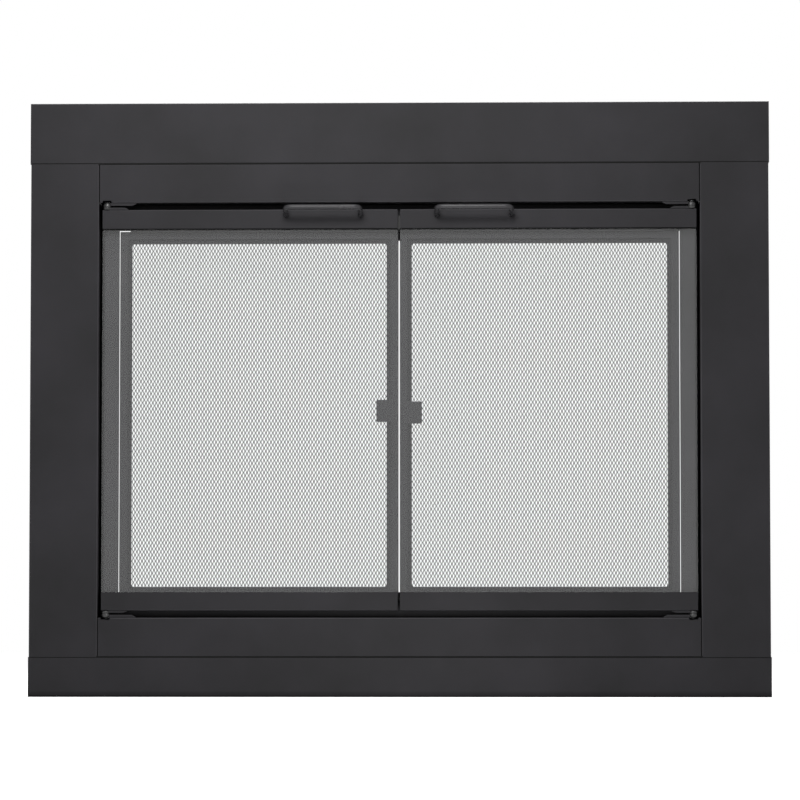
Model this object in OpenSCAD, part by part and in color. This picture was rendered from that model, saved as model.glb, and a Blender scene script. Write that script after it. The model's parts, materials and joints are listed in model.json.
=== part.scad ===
// Cabinet-style fireplace glass door: a folded steel surround, two glass doors
// on corner pivots, and two framed mesh screens behind them.
// X is to the right, Y to the rear and Z up. The origin is the centre of the
// underside, which stands on the hearth.

/* [Surround] */
// Width over the top and bottom panels
surround_w = 952.5; // [860:0.5:1100]
// Height from the hearth to the top
surround_h = 765; // [640:0.5:900]
// Depth from the front faces to the rear lips
surround_d = 50.8; // [46:0.1:70]
// Height of the top panel
top_panel_h = 78.7; // [60:0.1:110]
// Height of the bottom panel
bottom_panel_h = 51.1; // [44:0.1:80]
// Width of each side panel
side_panel_w = 88.3; // [70:0.1:110]
// How far each side panel stands in from the ends of the top and bottom panels
side_inset = 1; // [0:0.1:3]
// Thickness of the folded sheet
sheet_t = 1.5; // [1.2:0.1:1.8]
// Outer radius of the folds
fold_r = 2; // [2:0.1:3.5]
// Width of the lips folded in at the rear
lip_w = 12; // [8:0.5:16]

/* [Door frame] */
// Height of the door frame's top and bottom bars
bar_h = 50.5; // [40:0.1:70]
// Gap between each bar's end and the side panel
bar_end_gap = 0.8; // [0.3:0.1:2]
// Gap between the stile and the bars and rails that end beside it
stile_gap = 0.3; // [0.1:0.1:1]
// Width of the stile's front web, seen behind the glass
stile_w = 25.6; // [20:0.1:32]
// Distance from the front faces back to the stiles and the screens
stile_setback = 15; // [14.5:0.1:18]
// Width of the slot between the side panel and the step in the stile
stile_slot_w = 5.7; // [5:0.1:8]
// Width of the tab at each end of a stile
stile_tab_w = 14.3; // [12:0.1:16]
// Depth of the stile's step and of its tabs
stile_step_d = 22; // [18:0.5:26]

/* [Glass doors] */
// Gap between each bar and the door, where the hinge leaves lie
hinge_gap = 8.9; // [8:0.1:12]
// Gap between the side panel and the edge of the door
side_gap = 4.4; // [4:0.1:7]
// Gap between the two doors
centre_gap = 3.1; // [2:0.1:6]
// How far the doors stand back from the front faces
door_recess = 1; // [0:0.1:2]
// Height of the top rail
top_rail_h = 24.4; // [23:0.1:40]
// Height of the bottom rail
bottom_rail_h = 23.7; // [20:0.1:40]
// Thickness of the rails' sheet
rail_t = 1.2; // [1:0.1:1.5]
// Outer radius of the rails' folds
rail_r = 1.6; // [1.5:0.1:2.5]
// Thickness of the glass
glass_t = 4.8; // [4:0.1:6]
// Thickness of the liner on each side of the glass
liner_t = 0.4; // [0.3:0.1:0.8]
// How far the liner stands out of each rail
liner_out = 1.6; // [0.5:0.1:3]
// Depth of glass held in each rail
glass_hold = 14; // [10:0.5:15]

/* [Hinges] */
// Distance from the door's outer edge in to the pivot
pivot_inset = 5.8; // [5:0.1:8]
// Radius of the pivot pin
pivot_pin_r = 2.5; // [2:0.1:3]
// Radial clearance of each pin in its bore
running_gap = 0.05; // [0.03:0.01:0.09]
// Radius of the pivot bush
bush_r = 5.75; // [5:0.05:6.5]
// Height of the pivot bush
bush_h = 6.2; // [5.8:0.1:6.8]
// Radius of the dome that closes the bush
bush_dome_r = 8.5; // [8:0.1:12]
// Thickness of the bush over the pin's end
bush_cap_t = 0.9; // [0.6:0.1:1.2]
// Radius of the notch in the bar round the bush
notch_r = 7.3; // [7:0.1:9]
// Height of the notch in the bar's face
notch_h = 2.6; // [2.2:0.1:4]
// Width of the hinge leaves
leaf_w = 8; // [7:0.1:9]
// Thickness of the leaf on the door
door_leaf_t = 3; // [2.5:0.1:3.2]
// Length of the leaf on the door, from the pivot
door_leaf_l = 27.5; // [25:0.5:40]
// Thickness of the leaf on the frame
frame_leaf_t = 3.5; // [3:0.1:3.6]
// Length of the leaf on the frame, from the pivot
frame_leaf_l = 38; // [32:0.5:50]
// Length of the slope at the end of each leaf
leaf_taper_l = 5; // [3:0.5:8]
// Radius of the collar round the pin, under the bush
collar_r = 5.6; // [4.8:0.05:5.7]
// How far the collar stands over the door's leaf
collar_rise = 0.7; // [0.5:0.1:0.9]
// Free play between the collar and the bush
end_play = 0.3; // [0.2:0.05:0.5]
// Thickness of the head that holds the pin under the rail
pin_head_t = 2; // [1.5:0.1:2.5]
// How far that head stands out past the pin
pin_head_lip = 0.25; // [0.1:0.05:0.3]

/* [Handles] */
// Radius of the handle's rod
rod_r = 3.2; // [2.8:0.1:4]
// Distance between the centres of the handle's legs
handle_cc = 96; // [64:1:128]
// Distance of each handle's centre from the middle of the object
handle_x = 97.2; // [80:0.1:140]
// Distance from the rail out to the centre of the handle's bar
handle_out = 30; // [24:0.5:36]
// Height of the bar's centre over the top of the door
handle_up = 0.1; // [0:0.1:4]
// Rise of the handle's legs from the rail to the bar
handle_rise = 7.7; // [6:0.1:9]
// Radius of the bends, at the centre of the rod
handle_bend_r = 8; // [6:0.5:12]
// Radius of the handle's screws
screw_r = 2; // [1.5:0.1:2.2]
// Depth of the tapped hole in each leg
screw_hold = 5; // [3:0.5:5]

/* [Mesh screens] */
// Gap between the stile and the screen's frame
screen_side_gap = 0.8; // [0.8:0.1:3]
// Gap between the two screens
screen_centre_gap = 1.8; // [1:0.1:5]
// Gap between the door's opening bars and the top of the screen
screen_top_drop = 36.2; // [34:0.1:44]
// Gap between the bottom bar and the bottom of the screen
screen_bottom_rise = 24.1; // [22:0.1:40]
// Width of the screen frame's front border
front_border = 10; // [8:0.5:12]
// Width of the screen frame's rear border
rear_border = 15.4; // [13:0.1:20]
// Width of the rear border along the top
top_border = 15.8; // [13:0.1:20]
// Width of the solid rim round the screen's frame
rim_w = 4; // [3:0.5:6]
// Thickness of the front border
front_border_t = 2.4; // [1.5:0.1:3]
// Thickness of the rear border
rear_border_t = 2.2; // [1.5:0.1:3]
// Thickness of the mesh
mesh_t = 1.4; // [0.8:0.1:1.6]
// Width of a mesh strand
strand_w = 2.4; // [1.6:0.1:3.2]
// Diamonds across the mesh
mesh_columns = 10; // [6:1:11]
// Diamonds up the mesh
mesh_rows = 8; // [5:1:9]
// Corner radius of the screen frame's window
window_r = 3; // [1:0.5:6]
// Distance from the screen's outer edge in to its pivot
screen_pivot_inset = 16.5; // [12:0.5:24]
// Radius of the screen's pivot pins
screen_pin_r = 2; // [1.5:0.1:2.2]
// Length of pin that stands out of the screen's frame
screen_pin_out = 7; // [5:0.5:10]
// Clearance between the screen and the rails that carry it
screen_play = 0.3; // [0.2:0.1:1]

/* [Pull tabs] */
// Height of each pull tab
tab_h = 28.5; // [20:0.5:40]
// Height of the tabs' middle over the hearth
tab_z = 366.1; // [300:0.1:430]
// How much the left tab is above that and the right one below it
tab_stagger = 1.1; // [0:0.1:3]
// Reach of the tab over the mesh
tab_reach = 13; // [8:0.5:20]
// How far the tab's edge stands forward
tab_lift = 2.5; // [1:0.1:3]
// Thickness of the tab
tab_t = 1.2; // [0.8:0.1:1.5]
// Corner radius of the tab
tab_r = 2; // [1:0.5:4]

/* [Screen rails and catches] */
// Gap between the door's rails and the screen rails
screen_rail_clear = 3.5; // [3.2:0.1:4]
// Depth of the screen rail's flange that holds the pins
pin_flange_d = 14.5; // [12:0.5:18]
// Depth of the screen rail's flange on the bar
bar_flange_d = 18; // [16:0.5:21]
// How far each screen rail's end stands past the screen's pivot
screen_rail_end = 3.5; // [3.5:0.1:6]
// Height of the notch under the left end of the top screen rail's web
rail_notch = 1.9; // [0:0.1:2]
// How far the stop tab stands over the bottom screen rail
stop_rise = 8.9; // [6:0.1:12]
// Half the width of the catch plate and the stop tab between the screens
catch_half_w = 20; // [17:0.5:30]
// How far the catch plate reaches down behind the screens' top edge
catch_drop = 11.7; // [11:0.1:14]
// Clearance between a closed door or screen and its catch
catch_gap = 0.3; // [0.2:0.1:0.6]
// Radius of the screens' magnets
screen_magnet_r = 4.5; // [3.5:0.1:5]
// Thickness of the screens' magnets
screen_magnet_t = 3; // [2:0.5:4]
// Height of the doors' magnet holder
holder_h = 18; // [14:0.5:20]
// Width of each of the doors' magnets
door_magnet_w = 14; // [8:0.5:16]
// Height of each of the doors' magnets
door_magnet_h = 12; // [6:0.5:13]
// Depth of each of the doors' magnets
door_magnet_d = 5; // [3:0.5:8]

/* [Fasteners] */
// Radius of the panel bolts
bolt_r = 3; // [2.5:0.1:3.5]
// Length of the panel bolts under the head
bolt_l = 16; // [14:0.5:20]
// Width across the flats of bolt heads and nuts
hex_af = 10; // [9:0.5:12]
// Height of a bolt's head
bolt_head_h = 4; // [3:0.5:5]
// Height of a nut
nut_h = 5; // [4:0.5:6]
// Radial clearance of bolts and rivets in their holes
hole_gap = 0.25; // [0.1:0.05:0.5]
// Distance between the two bolts of a side panel
side_bolt_pitch = 40; // [30:1:44]
// Distance between the bolts of a door frame bar
bar_bolt_pitch = 290; // [250:1:320]
// Radius of the rivets
rivet_r = 2; // [1.5:0.1:2.4]
// Radius of a rivet's head
rivet_head_r = 3.5; // [3:0.1:3.8]
// Height of a rivet's head
rivet_head_h = 1.2; // [0.8:0.1:1.5]

/* [Mounting hardware] */
// Distance between the two hearth brackets' anchor holes
anchor_pitch = 600; // [480:1:660]
// Width of each hearth bracket
bracket_w = 40; // [30:1:60]
// Thickness of the brackets and the clamp arms
bracket_t = 3; // [2.5:0.1:4]
// How far each hearth bracket's foot reaches behind the surround
bracket_out = 45; // [36:1:70]
// Distance from the end of each foot in to its anchor hole
anchor_inset = 18.9; // [12:0.1:24]
// How far the top of each hearth bracket is below the top of the bottom panel
bracket_drop = 1.6; // [0:0.1:1.7]
// Radius of the anchor holes
anchor_hole_r = 3.5; // [2.5:0.1:5]
// Distance between the two lintel clamps
clamp_pitch = 420; // [380:1:480]
// Width of each clamp arm
clamp_arm_w = 30; // [28:1:40]
// Distance between the two bolts of a clamp arm
clamp_bolt_pitch = 16; // [14:0.5:18]
// How far each clamp arm reaches behind the surround
clamp_out = 45; // [38:1:70]
// Radius of the clamp screws
clamp_screw_r = 4; // [3:0.1:5]
// Length of the clamp screws under the head
clamp_screw_l = 58; // [54:1:64]
// Radius of the clamp screws' pads
clamp_pad_r = 11; // [8:0.5:14]
// Height of the clamp screws' pads
clamp_pad_h = 5; // [4:0.5:8]
// How far the clamp screws can rise
clamp_travel = 20; // [10:1:22]
// Gap left under the nut when the clamp screw is fully up
clamp_spare = 2; // [1:0.5:4]

/* [Hidden] */
$fn = 48;

LEFT = -1;
RIGHT = 1;
BOTTOM = -1;
TOP = 1;
SIDES = [LEFT, RIGHT];
LEVELS = [BOTTOM, TOP];
past = 1; // how far a cutting shape runs past the face that it cuts

// Planes of the surround
front_y = -surround_d / 2;
rear_y = surround_d / 2;
end_x = surround_w / 2;
side_outer_x = end_x - side_inset;
side_inner_x = side_outer_x - side_panel_w;
side_mid_x = side_outer_x - side_panel_w / 2;
top_joint_z = surround_h - top_panel_h;
bottom_joint_z = bottom_panel_h;

// The opening between the door frame's bars
opening_top_z = top_joint_z - bar_h;
opening_bottom_z = bottom_joint_z + bar_h;
opening_mid_z = (opening_top_z + opening_bottom_z) / 2;
bar_end_x = side_inner_x - bar_end_gap;

// The glass doors
door_top_z = opening_top_z - hinge_gap;
door_bottom_z = opening_bottom_z + hinge_gap;
door_outer_x = side_inner_x - side_gap;
door_inner_x = centre_gap / 2;
rail_d = glass_t + 2 * liner_t + 2 * rail_t;
door_front_y = front_y + door_recess;
door_rear_y = door_front_y + rail_d;
glass_y = door_front_y + rail_t + liner_t;
glass_top_z = door_top_z - top_rail_h + glass_hold;
glass_bottom_z = door_bottom_z + bottom_rail_h - glass_hold;

// The pivots at the doors' outer corners
pivot_x = door_outer_x - pivot_inset;
pivot_y = door_front_y + rail_d / 2;
collar_h = door_leaf_t + collar_rise;
bush_z = door_top_z + collar_h + end_play;
bore_top_z = bush_z + bush_h - bush_cap_t;
pin_top_z = bore_top_z - end_play;
pin_head_z = door_top_z - rail_t - pin_head_t;
pin_head_r = pivot_pin_r + pin_head_lip;

// Rivets along the leaves, counted from the pivot
door_leaf_rivets = [9, 19];
frame_leaf_rivets = [13, 27];
frame_rivet_y = max(pivot_y, front_y + fold_r + rivet_head_r);

// The handles
handle_bar_z = door_top_z + handle_up;
handle_foot_z = handle_bar_z - handle_rise;
handle_tilt = atan(handle_rise / handle_out);
handle_reach = norm([handle_out, handle_rise]);
screw_head_r = 2 * screw_r;
screw_head_h = 1.2 * screw_r;

// The stiles and the mesh screens
stile_front_y = front_y + stile_setback;
stile_outer_x = side_inner_x;
stile_inner_x = stile_outer_x - stile_w;
stile_step_x = stile_outer_x - stile_slot_w;
stile_back_y = stile_front_y + stile_step_d;
screen_front_y = stile_front_y;
mesh_y = screen_front_y + front_border_t;
rear_border_y = mesh_y + mesh_t;
screen_rear_y = rear_border_y + rear_border_t;
screen_outer_x = stile_inner_x - screen_side_gap;
screen_inner_x = screen_centre_gap / 2;
screen_w = screen_outer_x - screen_inner_x;
screen_top_z = opening_top_z - screen_top_drop;
screen_bottom_z = opening_bottom_z + screen_bottom_rise;
screen_h = screen_top_z - screen_bottom_z;
screen_pivot_x = screen_outer_x - screen_pivot_inset;
screen_pivot_y = (screen_front_y + screen_rear_y) / 2;

// The screen rails under the top bar and on the bottom bar
screen_rail_front_y = door_rear_y + screen_rail_clear;
screen_rail_web_y = screen_rail_front_y + pin_flange_d - sheet_t;
screen_rail_end_x = screen_pivot_x + screen_rail_end;
bar_flange_mid_y = screen_rail_web_y + (bar_flange_d + sheet_t) / 2;
screen_rail_web_end_x = stile_step_x - stile_tab_w - stile_gap;
screen_rail_rivets = [screen_rail_end_x / 3, screen_rail_end_x - 22];
stile_rivet_x = stile_step_x - stile_tab_w / 2;
stile_rivet_pitch = 10;
stile_rivet_mid_y = stile_front_y + sheet_t + stile_step_d / 2;
stile_rivet_ys = [for (k = [-1, 1]) stile_rivet_mid_y + k * stile_rivet_pitch / 2];

// The catches
catch_plate_y = screen_rear_y + catch_gap;
catch_top_z = screen_top_z + screen_play;
catch_bottom_z = screen_top_z - catch_drop;
screen_magnet_z = (catch_top_z - sheet_t + catch_bottom_z) / 2;
screen_magnet_x = screen_inner_x + rear_border / 2;
holder_front_y = door_rear_y + catch_gap;
holder_z = catch_top_z + sheet_t;
door_magnet_x = catch_half_w / 2;

// The lintel clamps and the hearth brackets
clamp_arm_z = opening_top_z + sheet_t;
clamp_arm_front_y = screen_rail_web_y;
clamp_arm_rear_y = rear_y + clamp_out;
clamp_screw_y = clamp_arm_rear_y - clamp_arm_w / 2;
clamp_hex_af = 3.25 * clamp_screw_r;
clamp_nut_h = 1.6 * clamp_screw_r;
clamp_head_h = 1.4 * clamp_screw_r;
clamp_nut_z = clamp_arm_z - clamp_nut_h;
clamp_head_z = clamp_nut_z - clamp_travel - clamp_head_h - clamp_spare;
clamp_tip_z = clamp_head_z + clamp_head_h + clamp_screw_l;
anchor_y = rear_y + bracket_out - anchor_inset;
bracket_h = bottom_panel_h - bracket_drop;
bracket_screw_zs = [bracket_t + screw_head_r + end_play, bottom_panel_h - lip_w / 2];

// Bolts that join the panels: two at each side panel and three at each bar
side_bolt_x = [for (s = SIDES, k = [-1, 1]) s * side_mid_x + k * side_bolt_pitch / 2];
bar_bolt_x = [for (k = [-1:1]) k * bar_bolt_pitch];
panel_bolt_x = concat(side_bolt_x, bar_bolt_x);
clamp_bolt_x = [for (s = SIDES, k = [-1, 1]) s * clamp_pitch / 2 + k * clamp_bolt_pitch / 2];

paint = [0.19, 0.19, 0.2];
screen_paint = [0.25, 0.25, 0.26];
glass_tint = [0.7, 0.75, 0.75, 0.35];
steel = [0.62, 0.62, 0.6];
zinc = [0.7, 0.7, 0.68];
magnet = [0.12, 0.12, 0.13];
liner = [0.08, 0.08, 0.08];

// ---- Helpers ----

// Draws the left-hand copy as written and the right-hand one mirrored
module on_side(side) {
    if (side == RIGHT) mirror([1, 0, 0]) children();
    else children();
}

// Draws the top copy as written and the bottom one mirrored about the opening
module at_level(level) {
    if (level == BOTTOM)
        translate([0, 0, 2 * opening_mid_z])
            mirror([0, 0, 1])
                children();
    else
        children();
}

// Draws its children at all four corners of the opening
module at_corners() {
    for (side = SIDES, level = LEVELS)
        on_side(side) at_level(level) children();
}

// Extrudes a section drawn in Y and Z along X, from x0 to x1
module along_x(x0, x1) {
    translate([x0, 0, 0])
        rotate([90, 0, 90])
            linear_extrude(x1 - x0)
                children();
}

// Extrudes an outline drawn in X and Z along Y, from y0 to y1
module along_y(y0, y1) {
    translate([0, y1, 0])
        rotate([90, 0, 0])
            linear_extrude(y1 - y0)
                children();
}

// A box from its lowest to its highest corner
module block(low, high) {
    translate(low)
        cube(high - low);
}

// A rectangle, d deep and w across, whose two front corners are round
module front_rounded(d, w, r) {
    translate([r, 0])
        square([d - r, w]);
    translate([0, r])
        square([d, w - 2 * r]);
    for (across = [r, w - r])
        translate([r, across])
            circle(r = r);
}

// A rectangle whose four corners are round
module rounded_rect(low, high, r) {
    size = high - low;
    translate(low + [r, 0])
        square([size.x - 2 * r, size.y]);
    translate(low + [0, r])
        square([size.x, size.y - 2 * r]);
    for (x = [low.x + r, high.x - r], y = [low.y + r, high.y - r])
        translate([x, y])
            circle(r = r);
}

// The section of a folded channel, d deep and w across, open at the rear
module channel_section(d, w, lip) {
    difference() {
        front_rounded(d, w, fold_r);
        translate([sheet_t, sheet_t])
            front_rounded(d - 2 * sheet_t, w - 2 * sheet_t, fold_r - sheet_t);
        translate([d / 2, lip])
            square([d, w - 2 * lip]);
    }
}

// Swaps the two axes of a section, so that its depth runs along Y
module upright() {
    mirror([1, -1])
        children();
}

// A vertical hole through a sheet at z
module sheet_hole(x, y, z, r) {
    translate([x, y, z - past])
        cylinder(r = r, h = sheet_t + 2 * past);
}

// A hexagonal prism with flats af apart
module hexagon(af, h) {
    cylinder(d = af / cos(30), h = h, $fn = 6);
}

// A bolt that points up, with the underside of its head at z = 0
module hex_bolt() {
    translate([0, 0, -bolt_head_h])
        hexagon(hex_af, bolt_head_h);
    cylinder(r = bolt_r, h = bolt_l);
}

module hex_nut() {
    difference() {
        hexagon(hex_af, nut_h);
        translate([0, 0, -past])
            cylinder(r = bolt_r + running_gap, h = nut_h + 2 * past);
    }
}

// A rivet whose flush end is at z = 0 and whose head lies on z = grip
module rivet(grip) {
    cylinder(r = rivet_r, h = grip);
    translate([0, 0, grip])
        cylinder(r = rivet_head_r, h = rivet_head_h);
}

// ---- Surround ----

// A folded panel with closed ends, from z0 up
module cross_panel(z0, h) {
    intersection() {
        union() {
            along_x(-end_x, end_x)
                translate([front_y, z0])
                    channel_section(surround_d, h, lip_w);
            for (x0 = [-end_x, end_x - sheet_t])
                along_x(x0, x0 + sheet_t)
                    translate([front_y, z0])
                        front_rounded(surround_d, h, fold_r);
        }
        translate([-end_x, front_y, z0])
            linear_extrude(h)
                upright()
                    front_rounded(surround_d, surround_w, fold_r);
    }
}

module top_panel() {
    color(paint)
        difference() {
            cross_panel(top_joint_z, top_panel_h);
            for (x = panel_bolt_x)
                sheet_hole(x, 0, top_joint_z, bolt_r + hole_gap);
        }
}

module bottom_panel() {
    color(paint)
        difference() {
            cross_panel(0, bottom_panel_h);
            for (x = panel_bolt_x)
                sheet_hole(x, 0, bottom_joint_z - sheet_t, bolt_r + hole_gap);
            for (s = SIDES, k = [-1, 1], z = bracket_screw_zs)
                translate([s * anchor_pitch / 2 + k * bracket_w / 4, rear_y + past, z])
                    rotate([90, 0, 0])
                        cylinder(r = screw_r + hole_gap, h = sheet_t + 2 * past);
        }
}

// A folded upright panel with a tab across each end
module side_panel(side) {
    color(paint)
        on_side(side)
            difference() {
                union() {
                    translate([-side_outer_x, front_y, bottom_joint_z])
                        linear_extrude(top_joint_z - bottom_joint_z)
                            upright()
                                channel_section(surround_d, side_panel_w, lip_w);
                    for (z = [bottom_joint_z, top_joint_z - sheet_t])
                        translate([-side_outer_x, front_y, z])
                            linear_extrude(sheet_t)
                                upright()
                                    front_rounded(surround_d, side_panel_w, fold_r);
                }
                for (k = [-1, 1], z = [bottom_joint_z, top_joint_z - sheet_t])
                    sheet_hole(-side_mid_x + k * side_bolt_pitch / 2, 0, z, bolt_r + hole_gap);
            }
}

module panel_bolts() {
    color(zinc) {
        for (x = panel_bolt_x) {
            translate([x, 0, top_joint_z - sheet_t])
                hex_bolt();
            translate([x, 0, bottom_joint_z + sheet_t])
                rotate([180, 0, 0])
                    hex_bolt();
        }
        for (x = clamp_bolt_x)
            translate([x, bar_flange_mid_y, clamp_arm_z + bracket_t])
                rotate([180, 0, 0])
                    hex_bolt();
    }
}

module panel_nuts() {
    color(zinc) {
        for (x = panel_bolt_x) {
            translate([x, 0, top_joint_z + sheet_t])
                hex_nut();
            translate([x, 0, bottom_joint_z - sheet_t - nut_h])
                hex_nut();
        }
        for (x = clamp_bolt_x)
            translate([x, bar_flange_mid_y, opening_top_z - sheet_t - nut_h])
                hex_nut();
    }
}

// ---- Door frame ----

// The top bar as it stands, and the bottom bar as its mirror image. The rear of
// each end is cut away for the stile's leg.
module door_frame_bar(level) {
    color(paint)
        at_level(level)
            difference() {
                along_x(-bar_end_x, bar_end_x)
                    translate([front_y, opening_top_z])
                        channel_section(surround_d, bar_h, sheet_t);
                for (x = bar_bolt_x)
                    sheet_hole(x, 0, top_joint_z - sheet_t, bolt_r + hole_gap);
                for (side = SIDES)
                    on_side(side) {
                        translate([-pivot_x, pivot_y, opening_top_z - past])
                            cylinder(r = notch_r, h = notch_h + past);
                        for (along = frame_leaf_rivets)
                            sheet_hole(along - pivot_x, frame_rivet_y, opening_top_z, rivet_r + running_gap);
                        for (along = screen_rail_rivets)
                            sheet_hole(-along, bar_flange_mid_y, opening_top_z, rivet_r + running_gap);
                        for (y = stile_rivet_ys)
                            sheet_hole(-stile_rivet_x, y, opening_top_z, rivet_r + running_gap);
                        block([-stile_outer_x, stile_back_y - sheet_t - stile_gap, opening_top_z - past],
                              [-stile_outer_x + sheet_t + stile_gap, rear_y + past, top_joint_z + past]);
                    }
                if (level == TOP)
                    for (x = clamp_bolt_x)
                        sheet_hole(x, bar_flange_mid_y, opening_top_z, bolt_r + hole_gap);
            }
}

// A stepped angle: its leg stands against the side panel from joint to joint.
// Its front web, the step beside it and its tabs lie between the bars, and the
// step leaves a deep slot along the edge of the door.
module frame_stile(side) {
    step_x = -stile_step_x + sheet_t;
    color(paint)
        on_side(side)
            difference() {
                union() {
                    block([-stile_step_x, stile_front_y, opening_bottom_z],
                          [-stile_inner_x, stile_front_y + sheet_t, opening_top_z]);
                    block([-stile_step_x, stile_front_y, opening_bottom_z],
                          [step_x, stile_back_y, opening_top_z]);
                    block([-stile_outer_x, stile_back_y - sheet_t, opening_bottom_z],
                          [step_x, stile_back_y, opening_top_z]);
                    block([-stile_outer_x, stile_back_y - sheet_t, bottom_joint_z],
                          [-stile_outer_x + sheet_t, rear_y, top_joint_z]);
                    for (z = [opening_bottom_z, opening_top_z - sheet_t])
                        block([-stile_step_x, stile_front_y, z],
                              [-stile_step_x + stile_tab_w, stile_back_y, z + sheet_t]);
                }
                for (y = stile_rivet_ys, z = [opening_bottom_z, opening_top_z - sheet_t])
                    sheet_hole(-stile_rivet_x, y, z, rivet_r + running_gap);
            }
}

module frame_rivets() {
    color(steel)
        at_corners() {
            for (along = frame_leaf_rivets)
                translate([along - pivot_x, frame_rivet_y, opening_top_z - frame_leaf_t])
                    rivet(frame_leaf_t + sheet_t);
            for (along = screen_rail_rivets)
                translate([-along, bar_flange_mid_y, opening_top_z - sheet_t])
                    rivet(2 * sheet_t);
            for (y = stile_rivet_ys)
                translate([-stile_rivet_x, y, opening_top_z - sheet_t])
                    rivet(2 * sheet_t);
        }
}

// ---- Hinges ----

// The side view of a leaf from the pivot, whose lower edge slopes at the tip
module leaf_outline(l, t) {
    polygon([[0, 0], [l - leaf_taper_l, 0], [l, t * 0.7], [l, t], [0, t]]);
}

module frame_hinge_leaves() {
    color(paint)
        at_corners()
            difference() {
                along_y(pivot_y - leaf_w / 2, pivot_y + leaf_w / 2)
                    translate([-pivot_x, opening_top_z - frame_leaf_t])
                        leaf_outline(frame_leaf_l, frame_leaf_t);
                translate([-pivot_x, pivot_y, opening_top_z - frame_leaf_t - past])
                    cylinder(r = bush_r + running_gap, h = frame_leaf_t + 2 * past);
                for (along = frame_leaf_rivets)
                    translate([along - pivot_x, frame_rivet_y, opening_top_z - frame_leaf_t - past])
                        cylinder(r = rivet_r + running_gap, h = frame_leaf_t + 2 * past);
            }
}

// Blind bushes, closed by a shallow dome on the side away from the door
module pivot_bushes() {
    color(steel)
        at_corners()
            difference() {
                intersection() {
                    translate([-pivot_x, pivot_y, bush_z])
                        cylinder(r = bush_r, h = bush_h);
                    translate([-pivot_x, pivot_y, bush_z + bush_h - bush_dome_r])
                        sphere(r = bush_dome_r);
                }
                translate([-pivot_x, pivot_y, bush_z - past])
                    cylinder(r = pivot_pin_r + running_gap, h = bore_top_z - bush_z + past);
            }
}

module door_hinge_leaves(side) {
    color(paint)
        on_side(side)
            for (level = LEVELS)
                at_level(level)
                    difference() {
                        along_y(pivot_y - leaf_w / 2, pivot_y + leaf_w / 2)
                            translate([-pivot_x, door_top_z + door_leaf_t])
                                mirror([0, 1])
                                    leaf_outline(door_leaf_l, door_leaf_t);
                        translate([-pivot_x, pivot_y, door_top_z - past])
                            cylinder(r = collar_r + running_gap, h = door_leaf_t + 2 * past);
                        for (along = door_leaf_rivets)
                            translate([along - pivot_x, pivot_y, door_top_z - past])
                                cylinder(r = rivet_r + running_gap, h = door_leaf_t + 2 * past);
                    }
}

module door_leaf_rivet_set(side) {
    color(steel)
        on_side(side)
            for (level = LEVELS, along = door_leaf_rivets)
                at_level(level)
                    translate([along - pivot_x, pivot_y, door_top_z + door_leaf_t])
                        rotate([180, 0, 0])
                            rivet_in_rail();
}

// A rivet through a door leaf and the rail, with a head small enough for the rail
module rivet_in_rail() {
    cylinder(r = rivet_r, h = door_leaf_t + rail_t);
    translate([0, 0, door_leaf_t + rail_t])
        cylinder(r = min(rivet_head_r, pin_head_r), h = rivet_head_h);
}

module pivot_pins(side) {
    color(steel)
        on_side(side)
            for (level = LEVELS)
                at_level(level)
                    translate([-pivot_x, pivot_y, pin_head_z]) {
                        cylinder(r = pin_head_r, h = pin_head_t);
                        cylinder(r = pivot_pin_r, h = pin_top_z - pin_head_z);
                    }
}

module pivot_collars(side) {
    color(steel)
        on_side(side)
            for (level = LEVELS)
                at_level(level)
                    translate([-pivot_x, pivot_y, door_top_z])
                        difference() {
                            cylinder(r = collar_r, h = collar_h);
                            translate([0, 0, -past])
                                cylinder(r = pivot_pin_r + running_gap, h = collar_h + 2 * past);
                        }
}

// ---- Glass doors ----

// The section of a top rail, open at the bottom where the glass goes in
module rail_section(h) {
    difference() {
        union() {
            translate([0, 0])
                square([rail_d, h - rail_r]);
            translate([rail_r, 0])
                square([rail_d - 2 * rail_r, h]);
            for (y = [rail_r, rail_d - rail_r])
                translate([y, h - rail_r])
                    circle(r = rail_r);
        }
        translate([rail_t, -past])
            square([rail_d - 2 * rail_t, h - rail_t + past]);
    }
}

module door_rail(side, level, h) {
    color(paint)
        on_side(side)
            at_level(level)
                difference() {
                    along_x(-door_outer_x, -door_inner_x)
                        translate([door_front_y, door_top_z - h])
                            rail_section(h);
                    translate([-pivot_x, pivot_y, door_top_z - rail_t - past])
                        cylinder(r = pivot_pin_r + running_gap, h = rail_t + 2 * past);
                    for (along = door_leaf_rivets)
                        translate([along - pivot_x, pivot_y, door_top_z - rail_t - past])
                            cylinder(r = rivet_r + running_gap, h = rail_t + 2 * past);
                    if (level == TOP)
                        for (k = [-1, 1])
                            translate([k * handle_cc / 2 - handle_x, door_rear_y + past, handle_foot_z])
                                rotate([90, 0, 0])
                                    cylinder(r = screw_r + hole_gap, h = rail_d + 2 * past);
                }
}

module glass_pane(side) {
    color(glass_tint)
        on_side(side)
            block([-door_outer_x, glass_y, glass_bottom_z],
                  [-door_inner_x, glass_y + glass_t, glass_top_z]);
}

// A folded liner round the edge of the glass inside each rail
module glass_liners(side) {
    color(liner)
        on_side(side)
            for (edge = [[TOP, glass_top_z, liner_out], [BOTTOM, 2 * opening_mid_z - glass_bottom_z, -liner_t]])
                at_level(edge[0])
                    difference() {
                        block([-door_outer_x, glass_y - liner_t, edge[1] - glass_hold - edge[2]],
                              [-door_inner_x, glass_y + glass_t + liner_t, edge[1] + liner_t]);
                        block([-door_outer_x - past, glass_y, edge[1] - glass_hold - edge[2] - past],
                              [-door_inner_x + past, glass_y + glass_t, edge[1]]);
                    }
}

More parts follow.
